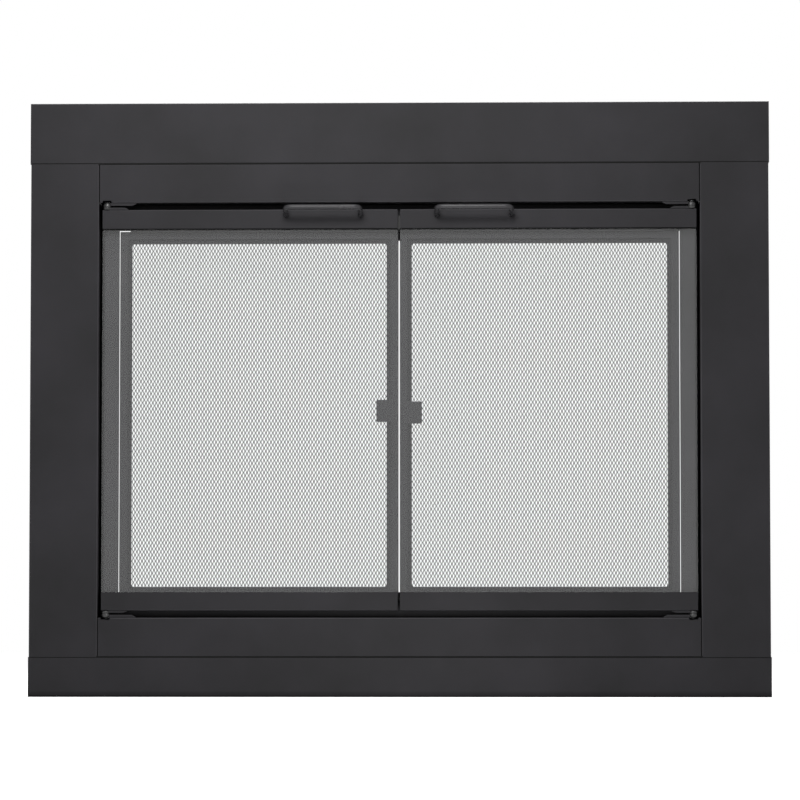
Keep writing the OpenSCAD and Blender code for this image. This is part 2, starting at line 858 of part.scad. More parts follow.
// A bent rod on two legs that slope down to the rail
module handle(side) {
    half = handle_cc / 2;
    color(paint)
        on_side(side)
            difference() {
                translate([-handle_x, door_front_y - handle_out, handle_bar_z])
                    rotate([-handle_tilt, 0, 0]) {
                        translate([handle_bend_r - half, 0, 0])
                            rotate([0, 90, 0])
                                cylinder(r = rod_r, h = handle_cc - 2 * handle_bend_r);
                        for (k = [-1, 1])
                            translate([k * (half - handle_bend_r), handle_bend_r, 0])
                                rotate([0, 0, k < 0 ? 180 : 270])
                                    rotate_extrude(angle = 90)
                                        translate([handle_bend_r, 0])
                                            circle(r = rod_r);
                        for (k = [-1, 1])
                            translate([k * half, handle_bend_r, 0])
                                rotate([-90, 0, 0])
                                    cylinder(r = rod_r, h = handle_reach);
                    }
                block([-handle_x - handle_cc, door_front_y, handle_foot_z - 4 * rod_r],
                      [-handle_x + handle_cc, door_front_y + handle_out, handle_foot_z + 4 * rod_r]);
                for (k = [-1, 1])
                    translate([k * half - handle_x, door_front_y + past, handle_foot_z])
                        rotate([90, 0, 0])
                            cylinder(r = screw_r, h = screw_hold + past);
            }
}

module handle_screws(side) {
    color(zinc)
        on_side(side)
            for (k = [-1, 1])
                translate([k * handle_cc / 2 - handle_x, door_rear_y, handle_foot_z]) {
                    rotate([-90, 0, 0])
                        cylinder(r = screw_head_r, h = screw_head_h);
                    rotate([90, 0, 0])
                        cylinder(r = screw_r - running_gap, h = rail_d + screw_hold - end_play);
                }
}

// ---- Mesh screens ----

// A window in the screen's frame, inset from its sides and bottom and from its top
module screen_window(inset, top_inset) {
    rounded_rect([-screen_outer_x + inset, screen_bottom_z + inset],
                 [-screen_inner_x - inset, screen_top_z - top_inset], window_r);
}

module screen_outline(inset) {
    translate([-screen_outer_x + inset, screen_bottom_z + inset])
        square([screen_w - 2 * inset, screen_h - 2 * inset]);
}

module screen_frame(side) {
    color(screen_paint)
        on_side(side)
            difference() {
                along_y(screen_front_y, screen_rear_y)
                    screen_outline(0);
                along_y(screen_front_y - past, mesh_y + mesh_t / 2)
                    screen_window(front_border, front_border);
                along_y(mesh_y, rear_border_y)
                    screen_outline(rim_w);
                along_y(mesh_y + mesh_t / 2, screen_rear_y + past)
                    screen_window(rear_border, top_border);
                for (z = [screen_bottom_z, screen_top_z - rim_w])
                    translate([-screen_pivot_x, screen_pivot_y, z])
                        cylinder(r = screen_pin_r + running_gap, h = rim_w);
            }
}

// One diamond of the mesh, a half-width and b half-height, less its strands
module diamond(a, b) {
    slant = norm([a, b]);
    half_w = a - strand_w / 2 * slant / b;
    half_h = b - strand_w / 2 * slant / a;
    polygon([[half_w, 0], [0, half_h], [-half_w, 0], [0, -half_h]]);
}

module screen_mesh(side) {
    mesh_w = screen_w - 2 * rear_border;
    mesh_h = screen_h - rear_border - top_border;
    step_x = mesh_w / mesh_columns;
    step_z = mesh_h / mesh_rows;
    low = [-screen_outer_x + rear_border, screen_bottom_z + rear_border];
    color(screen_paint)
        on_side(side)
            along_y(mesh_y, rear_border_y)
                difference() {
                    screen_outline(rim_w);
                    intersection() {
                        translate(low)
                            square([mesh_w, mesh_h]);
                        for (half = [0, 0.5], i = [0:mesh_columns - 2 * half], j = [0:mesh_rows - 2 * half])
                            translate(low + [(i + half) * step_x, (j + half) * step_z])
                                diamond(step_x / 2, step_z / 2);
                    }
                }
}

// A bent tab welded to the frame, whose free edge stands forward over the mesh
module screen_tab(side) {
    root = -screen_inner_x - front_border + past;
    bend = -screen_inner_x - rear_border;
    tip = bend - tab_reach;
    face = screen_front_y - tab_t;
    mid_z = tab_z - side * tab_stagger;
    color(screen_paint)
        on_side(side)
            intersection() {
                translate([0, 0, mid_z - tab_h / 2])
                    linear_extrude(tab_h)
                        polygon([[root + front_border / 2, face], [bend, face], [tip, face - tab_lift],
                                 [tip, face - tab_lift + tab_t], [bend, screen_front_y],
                                 [root + front_border / 2, screen_front_y]]);
                along_y(face - tab_lift - past, screen_front_y + past)
                    rounded_rect([tip, mid_z - tab_h / 2],
                                 [root + front_border / 2 + tab_r, mid_z + tab_h / 2], tab_r);
            }
}

module screen_pins(side) {
    color(steel)
        on_side(side)
            for (z = [screen_bottom_z - screen_pin_out, screen_top_z - rim_w])
                translate([-screen_pivot_x, screen_pivot_y, z])
                    cylinder(r = screen_pin_r, h = rim_w + screen_pin_out);
}

// ---- Screen rails and catches ----

// A flange for the pins, a web and a flange on the bar; the end next to the bar
// is at opening_top_z and the pins' flange is drop below it. The web runs on to
// the stiles, and the bottom rail has a stop tab where the screens meet.
module screen_rail(level, drop) {
    pin_flange_z = opening_top_z - drop;
    color(paint)
        at_level(level)
            difference() {
                union() {
                    block([-screen_rail_end_x, screen_rail_front_y, pin_flange_z],
                          [screen_rail_end_x, screen_rail_web_y + sheet_t, pin_flange_z + sheet_t]);
                    block([-screen_rail_web_end_x, screen_rail_web_y, pin_flange_z],
                          [screen_rail_web_end_x, screen_rail_web_y + sheet_t, opening_top_z]);
                    block([-screen_rail_end_x, screen_rail_web_y, opening_top_z - sheet_t],
                          [screen_rail_end_x, screen_rail_web_y + bar_flange_d, opening_top_z]);
                    if (level == BOTTOM)
                        block([-catch_half_w, catch_plate_y, pin_flange_z - stop_rise],
                              [catch_half_w, catch_plate_y + sheet_t, pin_flange_z + sheet_t]);
                }
                if (level == TOP)
                    block([-screen_rail_web_end_x - past, screen_rail_web_y - past, pin_flange_z - past],
                          [-screen_rail_end_x, rear_y, pin_flange_z + rail_notch]);
                for (s = SIDES)
                    sheet_hole(s * screen_pivot_x, screen_pivot_y, pin_flange_z, screen_pin_r + running_gap);
                for (s = SIDES, along = screen_rail_rivets)
                    sheet_hole(s * along, bar_flange_mid_y, opening_top_z - sheet_t, rivet_r + running_gap);
                if (level == TOP)
                    for (x = clamp_bolt_x)
                        sheet_hole(x, bar_flange_mid_y, opening_top_z - sheet_t, bolt_r + hole_gap);
            }
}

// An angle under the top screen rail, behind the meeting edges of the screens
module screen_catch_plate() {
    color(paint)
        difference() {
            union() {
                block([-catch_half_w, catch_plate_y, catch_bottom_z],
                      [catch_half_w, catch_plate_y + sheet_t, catch_top_z]);
                block([-catch_half_w, catch_plate_y, catch_top_z - sheet_t],
                      [catch_half_w, screen_rail_web_y + sheet_t, catch_top_z]);
            }
            for (s = SIDES)
                translate([s * screen_magnet_x, catch_plate_y - past, screen_magnet_z])
                    rotate([-90, 0, 0])
                        cylinder(r = screen_magnet_r + running_gap, h = sheet_t + 2 * past);
        }
}

module screen_magnets() {
    color(magnet)
        for (s = SIDES)
            translate([s * screen_magnet_x, catch_plate_y, screen_magnet_z])
                rotate([-90, 0, 0])
                    cylinder(r = screen_magnet_r, h = screen_magnet_t);
}

module magnet_holder() {
    color(liner)
        difference() {
            block([-catch_half_w, holder_front_y, holder_z],
                  [catch_half_w, screen_rail_web_y, holder_z + holder_h]);
            for (s = SIDES)
                magnet_pocket(s, past);
        }
}

// The space of one door magnet, run out in front by the given length
module magnet_pocket(s, out) {
    low_z = holder_z + (holder_h - door_magnet_h) / 2;
    block([s * door_magnet_x - door_magnet_w / 2, holder_front_y - out, low_z],
          [s * door_magnet_x + door_magnet_w / 2, holder_front_y + door_magnet_d, low_z + door_magnet_h]);
}

module door_magnets() {
    color(magnet)
        for (s = SIDES)
            magnet_pocket(s, 0);
}

// ---- Mounting hardware ----

module hearth_brackets() {
    color(zinc)
        for (s = SIDES)
            translate([s * anchor_pitch / 2, 0, 0])
                difference() {
                    union() {
                        block([-bracket_w / 2, rear_y, 0], [bracket_w / 2, rear_y + bracket_out, bracket_t]);
                        block([-bracket_w / 2, rear_y, 0], [bracket_w / 2, rear_y + bracket_t, bracket_h]);
                    }
                    translate([0, anchor_y, -past])
                        cylinder(r = anchor_hole_r, h = bracket_t + 2 * past);
                    for (k = [-1, 1], z = bracket_screw_zs)
                        translate([k * bracket_w / 4, rear_y - past, z])
                            rotate([-90, 0, 0])
                                cylinder(r = screw_r + hole_gap, h = bracket_t + 2 * past);
                }
}

module bracket_screws() {
    color(zinc)
        for (s = SIDES, k = [-1, 1], z = bracket_screw_zs)
            translate([s * anchor_pitch / 2 + k * bracket_w / 4, rear_y + bracket_t, z]) {
                rotate([-90, 0, 0])
                    cylinder(r = screw_head_r, h = screw_head_h);
                rotate([90, 0, 0])
                    cylinder(r = screw_r, h = bracket_t + 2 * sheet_t);
            }
}

// Flat arms bolted on the top bar's lower web, each with a hole for its screw
module clamp_arms() {
    color(zinc)
        for (s = SIDES)
            translate([s * clamp_pitch / 2, 0, clamp_arm_z])
                difference() {
                    block([-clamp_arm_w / 2, clamp_arm_front_y, 0],
                          [clamp_arm_w / 2, clamp_arm_rear_y, bracket_t]);
                    translate([0, clamp_screw_y, -past])
                        cylinder(r = clamp_screw_r + running_gap, h = bracket_t + 2 * past);
                    for (k = [-1, 1])
                        translate([k * clamp_bolt_pitch / 2, bar_flange_mid_y, -past])
                            cylinder(r = bolt_r + hole_gap, h = bracket_t + 2 * past);
                }
}

module clamp_nuts() {
    color(zinc)
        for (s = SIDES)
            translate([s * clamp_pitch / 2, clamp_screw_y, clamp_nut_z])
                difference() {
                    hexagon(clamp_hex_af, clamp_nut_h);
                    translate([0, 0, -past])
                        cylinder(r = clamp_screw_r + running_gap, h = clamp_nut_h + 2 * past);
                }
}

module clamp_screw(side) {
    color(zinc)
        translate([side * clamp_pitch / 2, clamp_screw_y, clamp_head_z]) {
            hexagon(clamp_hex_af, clamp_head_h);
            cylinder(r = clamp_screw_r, h = clamp_head_h + clamp_screw_l);
        }
}

// A cup on the tip of the screw that bears on the lintel
module clamp_pad(side) {
    color(zinc)
        translate([side * clamp_pitch / 2, clamp_screw_y, clamp_tip_z - clamp_pad_h / 2])
            difference() {
                cylinder(r = clamp_pad_r, h = clamp_pad_h);
                translate([0, 0, -past])
                    cylinder(r = clamp_screw_r + running_gap, h = clamp_pad_h / 2 + past);
            }
}

top_panel();
bottom_panel();
side_panel(LEFT);  // left_side_panel
side_panel(RIGHT);  // right_side_panel
panel_bolts();
panel_nuts();
door_frame_bar(TOP);  // door_frame_top_bar
door_frame_bar(BOTTOM);  // door_frame_bottom_bar
frame_stile(LEFT);  // left_frame_stile
frame_stile(RIGHT);  // right_frame_stile
frame_rivets();
frame_hinge_leaves();
pivot_bushes();
screen_rail(TOP, screen_top_drop - screen_play);  // screen_top_rail
screen_rail(BOTTOM, screen_bottom_rise - screen_play);  // screen_bottom_rail
screen_catch_plate();
screen_magnets();
magnet_holder();
door_magnets();
hearth_brackets();
bracket_screws();
clamp_arms();
clamp_nuts();
clamp_screw(LEFT);  // left_clamp_screw
clamp_pad(LEFT);  // left_clamp_pad
clamp_screw(RIGHT);  // right_clamp_screw
clamp_pad(RIGHT);  // right_clamp_pad
glass_pane(LEFT);  // left_glass
door_rail(LEFT, TOP, top_rail_h);  // left_top_rail
door_rail(LEFT, BOTTOM, bottom_rail_h);  // left_bottom_rail
glass_liners(LEFT);  // left_glass_liners
door_hinge_leaves(LEFT);  // left_hinge_leaves
door_leaf_rivet_set(LEFT);  // left_leaf_rivets
pivot_pins(LEFT);  // left_pivot_pins
pivot_collars(LEFT);  // left_pivot_collars
handle(LEFT);  // left_handle
handle_screws(LEFT);  // left_handle_screws
glass_pane(RIGHT);  // right_glass
door_rail(RIGHT, TOP, top_rail_h);  // right_top_rail
door_rail(RIGHT, BOTTOM, bottom_rail_h);  // right_bottom_rail
glass_liners(RIGHT);  // right_glass_liners
door_hinge_leaves(RIGHT);  // right_hinge_leaves
door_leaf_rivet_set(RIGHT);  // right_leaf_rivets
pivot_pins(RIGHT);  // right_pivot_pins
pivot_collars(RIGHT);  // right_pivot_collars
handle(RIGHT);  // right_handle
handle_screws(RIGHT);  // right_handle_screws
screen_frame(LEFT);  // left_screen_frame
screen_mesh(LEFT);  // left_screen_mesh
screen_tab(LEFT);  // left_screen_tab
screen_pins(LEFT);  // left_screen_pins
screen_frame(RIGHT);  // right_screen_frame
screen_mesh(RIGHT);  // right_screen_mesh
screen_tab(RIGHT);  // right_screen_tab
screen_pins(RIGHT);  // right_screen_pins
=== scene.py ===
import json
import math

import bpy
import bmesh
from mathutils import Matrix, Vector


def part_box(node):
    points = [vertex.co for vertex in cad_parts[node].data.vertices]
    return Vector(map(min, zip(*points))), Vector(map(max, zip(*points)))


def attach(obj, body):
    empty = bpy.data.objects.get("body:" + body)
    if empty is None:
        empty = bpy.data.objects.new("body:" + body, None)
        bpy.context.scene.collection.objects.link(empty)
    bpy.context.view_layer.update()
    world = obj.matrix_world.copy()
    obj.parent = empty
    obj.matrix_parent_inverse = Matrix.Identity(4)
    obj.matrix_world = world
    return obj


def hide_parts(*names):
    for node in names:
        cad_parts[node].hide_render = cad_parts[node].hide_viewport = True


# A fireplace glass door: its finishes, detailed pieces, stage and light, in metres, round its CAD model

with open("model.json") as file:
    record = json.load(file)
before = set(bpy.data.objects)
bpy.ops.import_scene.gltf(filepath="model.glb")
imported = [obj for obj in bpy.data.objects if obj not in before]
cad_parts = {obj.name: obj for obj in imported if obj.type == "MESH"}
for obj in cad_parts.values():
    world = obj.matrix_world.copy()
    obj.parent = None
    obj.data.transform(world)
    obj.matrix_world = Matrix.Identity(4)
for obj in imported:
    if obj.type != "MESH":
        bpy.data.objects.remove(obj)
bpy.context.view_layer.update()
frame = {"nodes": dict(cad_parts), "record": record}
nodes = frame["nodes"]

MM = 0.001
SIDES = ["left", "right"]
FORE_AFT, UPRIGHT = 1, 2  # axes
ORIGIN = Vector((0, 0, 0))
BODIES = frame["record"]["behaviour"]["bodies"]
SUBPARTS = frame["record"]["subparts"]
BODY_OF = {node: body for body, members in BODIES.items() for node in members}
SLOT_OF = {row["node"]: row["material_slot"] for row in SUBPARTS}


# ---- Places, all taken from the frame ----

def low_of(node):
    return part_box(node)[0]


def high_of(node):
    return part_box(node)[1]


MIDDLE_Z = (high_of("door_frame_bottom_bar").z + low_of("door_frame_top_bar").z) / 2


# ---- Node trees for materials; a noise's scale counts features to a metre ----

class Shade:
    """One material's node tree, with short calls for the nodes that the finishes share."""

    def __init__(self, name):
        self.material = bpy.data.materials.new(name)
        self.material.use_nodes = True
        self.tree = self.material.node_tree
        self.surface = self.tree.nodes["Principled BSDF"]
        coords = self.tree.nodes.new("ShaderNodeTexCoord")
        self.object_coords = coords.outputs["Object"]
        self.face_normal = coords.outputs["Normal"]

    def add(self, kind, **settings):
        node = self.tree.nodes.new(kind)
        for key, value in settings.items():
            setattr(node, key, value)
        return node

    def link(self, output, socket):
        self.tree.links.new(output, socket)

    def fix(self, socket, value):
        """Sets one of the surface's own sockets."""
        self.surface.inputs[socket].default_value = value

    def feed(self, socket, output):
        """Links an output to one of the surface's own sockets."""
        self.link(output, self.surface.inputs[socket])

    def stretched(self, scale):
        mapping = self.add("ShaderNodeMapping")
        mapping.inputs["Scale"].default_value = scale
        self.link(self.object_coords, mapping.inputs["Vector"])
        return mapping.outputs["Vector"]

    def noise(self, scale, detail, roughness=0.5, vector=None):
        noise = self.add("ShaderNodeTexNoise")
        noise.inputs["Scale"].default_value = scale
        noise.inputs["Detail"].default_value = detail
        noise.inputs["Roughness"].default_value = roughness
        self.link(vector or self.object_coords, noise.inputs["Vector"])
        return noise.outputs["Fac"]

    def ramp(self, value, stops):
        """The colour that a value gives on a ramp of places and their colours."""
        ramp = self.add("ShaderNodeValToRGB")
        while len(ramp.color_ramp.elements) < len(stops):
            ramp.color_ramp.elements.new(0.5)
        for element, (place, colour) in zip(ramp.color_ramp.elements, stops):
            element.position = place
            element.color = (*colour, 1)
        self.link(value, ramp.inputs["Fac"])
        return ramp.outputs["Color"]

    def spread(self, value, low, high):
        """A value from 0 to 1, spread from low to high."""
        rescale = self.add("ShaderNodeMapRange")
        rescale.inputs["To Min"].default_value = low
        rescale.inputs["To Max"].default_value = high
        self.link(value, rescale.inputs["Value"])
        return rescale.outputs["Result"]

    def multiplied(self, colour, share):
        mix = self.add("ShaderNodeMix", data_type="RGBA", blend_type="MULTIPLY")
        mix.inputs["Factor"].default_value = 1.0
        self.link(colour, mix.inputs["A"])
        self.link(share, mix.inputs["B"])
        return mix.outputs["Result"]

    def bump(self, height, strength, distance, under=None):
        bump = self.add("ShaderNodeBump")
        bump.inputs["Strength"].default_value = strength
        bump.inputs["Distance"].default_value = distance
        self.link(height, bump.inputs["Height"])
        if under:
            self.link(under, bump.inputs["Normal"])
        return bump.outputs["Normal"]


def grey(level, tint=0.0):
    """A neutral colour, a little to the violet with a tint."""
    return (level * (1 + tint / 3), level, level * (1 + tint))


# ---- Finishes ----

FINE_MARK = 0.03 * MM
MOTTLE = 0.14
DARK_TINT, LIGHT_TINT = 0.06, 0.1
GLOSSIER, DULLER = 0.04, 0.05
# How much lighter the painted highlight on the bends makes the colour
BEND_HIGHLIGHT = 0.7
# Reach and level of the painted shade in seams and slots
SHADE_REACH = 12 * MM
SHADE_LEVEL = 0.04
STAIN_SHARE = 0.7
ZINC_DARK, ZINC_LIGHT = (0.36, 0.38, 0.4), (0.48, 0.49, 0.5)
GLASS_TINT = (0.97, 0.985, 0.98, 1)


def painted_bend_highlights(shade):
    """Painted highlight: lighter where a face slants between looking forward and looking sideways, as on a
    bend.
    """
    facing = shade.add("ShaderNodeSeparateXYZ")
    shade.link(shade.face_normal, facing.inputs[0])
    slant = shade.add("ShaderNodeMath", operation="ABSOLUTE")
    shade.link(facing.outputs["Y"], slant.inputs[0])
    flat, highlit = grey(1.0), grey(1.0 + BEND_HIGHLIGHT)
    return shade.ramp(slant.outputs[0], [(0.3, flat), (0.6, highlit), (0.92, highlit), (0.99, flat)])


def painted_seam_shade(shade):
    """Painted shade: nearly black where other surfaces stand close by, as in a seam or a slot."""
    occlusion = shade.add("ShaderNodeAmbientOcclusion", samples=8)
    occlusion.inputs["Distance"].default_value = SHADE_REACH
    return shade.ramp(occlusion.outputs["AO"], [(0.42, grey(SHADE_LEVEL)), (0.88, grey(1.0))])


def satin_paint(name, level, roughness, sheen, painted_light=False):
    """Baked-on black paint: a fine orange peel, slight mottling, and patches of more or less gloss.

    With painted light, the colour gets a painted highlight along the bends and painted shade in its seams
    and slots.
    """
    shade = Shade(name)
    shade.fix("Specular IOR Level", sheen)
    dark = grey(level * (1 - MOTTLE), DARK_TINT)
    light = grey(level * (1 + MOTTLE), LIGHT_TINT)
    colour = shade.ramp(shade.noise(scale=9.0, detail=4.0), [(0.3, dark), (0.7, light)])
    # Painted highlight on the bends, and painted shade in seams and slots
    if painted_light:
        colour = shade.multiplied(shade.multiplied(colour, painted_bend_highlights(shade)), painted_seam_shade(shade))
    shade.feed("Base Color", colour)
    patches = shade.noise(scale=26.0, detail=5.0, roughness=0.6)
    shade.feed("Roughness", shade.spread(patches, roughness - GLOSSIER, roughness + DULLER))
    grain = shade.bump(shade.noise(scale=1500.0, detail=2.0), strength=0.1, distance=FINE_MARK)
    peel = shade.bump(shade.noise(scale=260.0, detail=2.0), strength=0.1, distance=0.12 * MM, under=grain)
    shade.feed("Normal", peel)
    return shade.material


def turned_steel(name, level):
    """Turned steel under a black oxide, with fine rings from the lathe and a few darker stains."""
    shade = Shade(name)
    shade.fix("Metallic", 1.0)
    stains = shade.noise(scale=320.0, detail=4.0, roughness=0.6)
    shade.feed("Base Color", shade.ramp(stains, [(0.32, grey(level * STAIN_SHARE)), (0.6, grey(level))]))
    rings = shade.noise(scale=3.0, detail=2.0, vector=shade.stretched((60, 60, 2400)))
    shade.feed("Roughness", shade.spread(rings, 0.3, 0.44))
    shade.feed("Normal", shade.bump(rings, strength=0.3, distance=FINE_MARK))
    return shade.material


def zinc_plate(name):
    """Zinc-plated steel with a fine spangle and faint drawing marks."""
    shade = Shade(name)
    shade.fix("Metallic", 1.0)
    cells = shade.add("ShaderNodeTexVoronoi")
    cells.inputs["Scale"].default_value = 240.0
    shade.link(shade.object_coords, cells.inputs["Vector"])
    shade.feed("Base Color", shade.ramp(cells.outputs["Distance"], [(0.0, ZINC_DARK), (0.8, ZINC_LIGHT)]))
    shade.feed("Roughness", shade.spread(shade.noise(scale=90.0, detail=4.0), 0.28, 0.46))
    marks = shade.noise(scale=5.0, detail=2.0, vector=shade.stretched((6, 500, 500)))
    shade.feed("Normal", shade.bump(marks, strength=0.15, distance=FINE_MARK))
    return shade.material


def clear_glass(name):
    """Tempered glass: clear, faintly grey-green in its depth, with a very slight roller wave."""
    shade = Shade(name)
    shade.fix("Base Color", GLASS_TINT)
    shade.fix("Transmission Weight", 1.0)
    shade.fix("IOR", 1.5)
    shade.fix("Specular IOR Level", 0.4)
    haze = shade.noise(scale=30.0, detail=5.0, roughness=0.65)
    shade.feed("Roughness", shade.spread(haze, 0.0, 0.02))
    wave = shade.noise(scale=2.0, detail=1.0, vector=shade.stretched((1, 1, 7)))
    shade.feed("Normal", shade.bump(wave, strength=0.03, distance=0.3 * MM))
    return shade.material


def woven_liner(name):
    """Black heat-proof tape round the glass, woven in a plain weave."""
    shade = Shade(name)
    weave = shade.add("ShaderNodeTexWave", wave_type="BANDS", bands_direction="DIAGONAL")
    weave.inputs["Scale"].default_value = 900.0
    shade.link(shade.object_coords, weave.inputs["Vector"])
    shade.feed("Base Color", shade.ramp(weave.outputs["Fac"], [(0.0, grey(0.005)), (1.0, grey(0.016))]))
    shade.fix("Roughness", 0.85)
    shade.fix("Specular IOR Level", 0.1)
    shade.feed("Normal", shade.bump(weave.outputs["Fac"], strength=0.5, distance=0.2 * MM))
    return shade.material


def ferrite(name):
    """Pressed ceramic magnet: dark grey, dull and pitted."""
    shade = Shade(name)
    pits = shade.noise(scale=700.0, detail=5.0, roughness=0.7)
    shade.feed("Base Color", shade.ramp(pits, [(0.3, grey(0.02)), (0.7, grey(0.06))]))
    shade.fix("Roughness", 0.62)
    shade.feed("Normal", shade.bump(pits, strength=0.3, distance=0.1 * MM))
    return shade.material


def anodised(name):
    """Black anodised aluminium with drawing lines along its length."""
    shade = Shade(name)
    shade.fix("Metallic", 0.8)
    lines = shade.noise(scale=4.0, detail=3.0, vector=shade.stretched((4, 900, 900)))
    shade.feed("Base Color", shade.ramp(lines, [(0.3, grey(0.02)), (0.7, grey(0.045))]))
    shade.fix("Roughness", 0.45)
    shade.feed("Normal", shade.bump(lines, strength=0.15, distance=FINE_MARK))
    return shade.material


# The surround's paint carries a painted highlight on its bends and painted shade in its seams and slots
PAINT = satin_paint("satin_black_paint", level=0.03, roughness=0.42, sheen=0.06, painted_light=True)
SCREEN_PAINT = satin_paint("screen_black_paint", level=0.03, roughness=0.46, sheen=0.06)
HANDLE_PAINT = satin_paint("handle_black_paint", level=0.032, roughness=0.26, sheen=0.24)
STEEL = turned_steel("blackened_steel", level=0.055)
ZINC = zinc_plate("zinc_plate")
GLASS = clear_glass("tempered_glass")
LINER = woven_liner("woven_liner")
MAGNET = ferrite("pressed_ferrite")
HOLDER = anodised("black_anodised")

FINISHES = {
    "surround_paint": PAINT,
    "screen_paint": SCREEN_PAINT,
    "glass": GLASS,
    "glass_liner": LINER,
    "bare_steel": STEEL,
    "zinc_steel": ZINC,
    "magnet": MAGNET,
    "holder_aluminium": HOLDER,
}


def finish_cad_nodes():
    """Every CAD node takes the finish of its slot."""
    for node, slot in SLOT_OF.items():
        mesh = nodes[node].data
        mesh.materials.clear()
        mesh.materials.append(FINISHES[slot])


finish_cad_nodes()


# ---- Forms and pieces ----

STEPS = 36
TURNS = [2 * math.pi * k / STEPS for k in range(STEPS)]
CREASE = math.radians(38)
WELD = 0.002 * MM
FLAT_WITHIN = math.radians(0.5)


def in_scene(name, data):
    """A new object in the scene, which holds this mesh, lamp or camera."""
    obj = bpy.data.objects.new(name, data)
    bpy.context.scene.collection.objects.link(obj)
    return obj


def grown_mesh(obj):
    """A plain mesh of the object with its modifiers applied."""
    bpy.context.view_layer.update()
    return bpy.data.meshes.new_from_object(obj.evaluated_get(bpy.context.evaluated_depsgraph_get()))


def stand_in(piece, node):
    """The piece takes its node's place and body, and the node is hidden."""
    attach(piece, BODY_OF[node])
    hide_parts(node)
    return piece


def made(name, form, finish):
    """Turns a form into an object, its faces outward and its curves smooth."""
    bmesh.ops.recalc_face_normals(form, faces=form.faces)
    for face in form.faces:
        face.smooth = True
    mesh = bpy.data.meshes.new(name)
    form.to_mesh(mesh)
    form.free()
    mesh.materials.append(finish)
    mesh.set_sharp_from_angle(angle=CREASE)
    return in_scene(name, mesh)


def applied(piece):
    """The piece with its modifiers applied."""
    mesh = grown_mesh(piece)
    mesh.name = piece.data.name
    piece.modifiers.clear()
    piece.data = mesh
    return piece


def merged(node):
    """A copy of a node's form, with its loose triangles joined and its flat faces made whole."""
    form = bmesh.new()
    form.from_mesh(nodes[node].data)
    bmesh.ops.remove_doubles(form, verts=form.verts, dist=WELD)
    bmesh.ops.dissolve_limit(form, angle_limit=FLAT_WITHIN, verts=form.verts, edges=form.edges)
    return form


def span(points):
    """The lowest and highest corners of some points."""
    return (Vector([min(p[k] for p in points) for k in range(3)]),
            Vector([max(p[k] for p in points) for k in range(3)]))


def place_in_order(points):
    """What a node's solids are sorted by: where their lowest corner is along X, and then along Z."""
    low = span(points)[0]
    return round(low.x, 4), round(low.z, 4)


def solids(node):
    """The points of each separate solid of a node, in the same order each run."""
    form = merged(node)
    met = set()
    found = []
    for start in form.verts:
        if start in met:
            continue
        met.add(start)
        front = [start]
        solid = []
        while front:
            vert = front.pop()
            solid.append(vert.co.copy())
            for edge in vert.link_edges:
                other = edge.other_vert(vert)
                if other not in met:
                    met.add(other)
                    front.append(other)
        found.append(solid)
    form.free()
    return sorted(found, key=place_in_order)


def foot_of(low, high, up=1):
    """The middle of a box's foot, or of its top where what fills the box stands upside down."""
    return Vector(((low.x + high.x) / 2, (low.y + high.y) / 2, low.z if up > 0 else high.z))


def skin(form, rings, closed=False):
    """Skins rings of equal counts with quads, and caps an open run at both ends."""
    rows = [[form.verts.new(point) for point in ring] for ring in rings]
    count = len(rows[0])
    pairs = list(zip(rows, rows[1:])) + ([(rows[-1], rows[0])] if closed else [])
    for low, high in pairs:
        for k in range(count):
            after = (k + 1) % count
            form.faces.new((low[k], low[after], high[after], high[k]))
    if not closed:
        form.faces.new(rows[0][::-1])
        form.faces.new(rows[-1])


def round_ring(radius, z, base=ORIGIN, up=1):
    return [base + Vector((radius * math.cos(turn), radius * math.sin(turn), up * z)) for turn in TURNS]


def turned(form, profile, base, up=1, closed=False):
    """Adds a lathe-turned solid: a profile of radius and height pairs, run round an upright axis."""
    skin(form, [round_ring(radius, z, base, up) for radius, z in profile], closed)


# ---- Folded, cut and moulded pieces, with smooth bends and rounded edges ----

SHARP = math.radians(40)
EDGE_SHARE = 0.3
EASE_STEPS = 3
FLAT_WEIGHT = 100


def reach(face, edge):
    """How far a face runs from one of its edges."""
    start = edge.verts[0].co
    along = (edge.verts[1].co - start).normalized()
    away = [vert.co - start for vert in face.verts]
    return max((offset - along * offset.dot(along)).length for offset in away)


def shade_flats(piece, keep_sharp):
    """Keeps the large faces looking flat, and lets the small ones beside them carry the bend."""
    flats = piece.modifiers.new("flats", "WEIGHTED_NORMAL")
    flats.weight = FLAT_WEIGHT
    flats.keep_sharp = keep_sharp


def smoothed(node):
    """The node's own form, with its folds shaded as smooth bends."""
    piece = made(node + "_smoothed", merged(node), FINISHES[SLOT_OF[node]])
    shade_flats(piece, keep_sharp=True)
    return stand_in(applied(piece), node)


def eased(node, radius):
    """The node's own form, its bends and cut edges rounded as a press brake and a file leave them."""
    form = merged(node)
    weight = form.edges.layers.float.new("bevel_weight_edge")
    for edge in form.edges:
        if len(edge.link_faces) == 2 and edge.calc_face_angle(0) > SHARP:
            room = min(reach(face, edge) for face in edge.link_faces)
            edge[weight] = min(1.0, room * EDGE_SHARE / radius)
    piece = made(node + "_eased", form, FINISHES[SLOT_OF[node]])
    bevel = piece.modifiers.new("ease", "BEVEL")
    bevel.limit_method = "WEIGHT"
    bevel.width = radius
    bevel.segments = EASE_STEPS
    bevel.use_clamp_overlap = False
    shade_flats(piece, keep_sharp=False)
    return stand_in(applied(piece), node)


# The panels are only smoothed, because rounding their cut edges left stray faces across their open rears.
SMOOTHED = ["top_panel", "bottom_panel", "left_side_panel", "right_side_panel"]
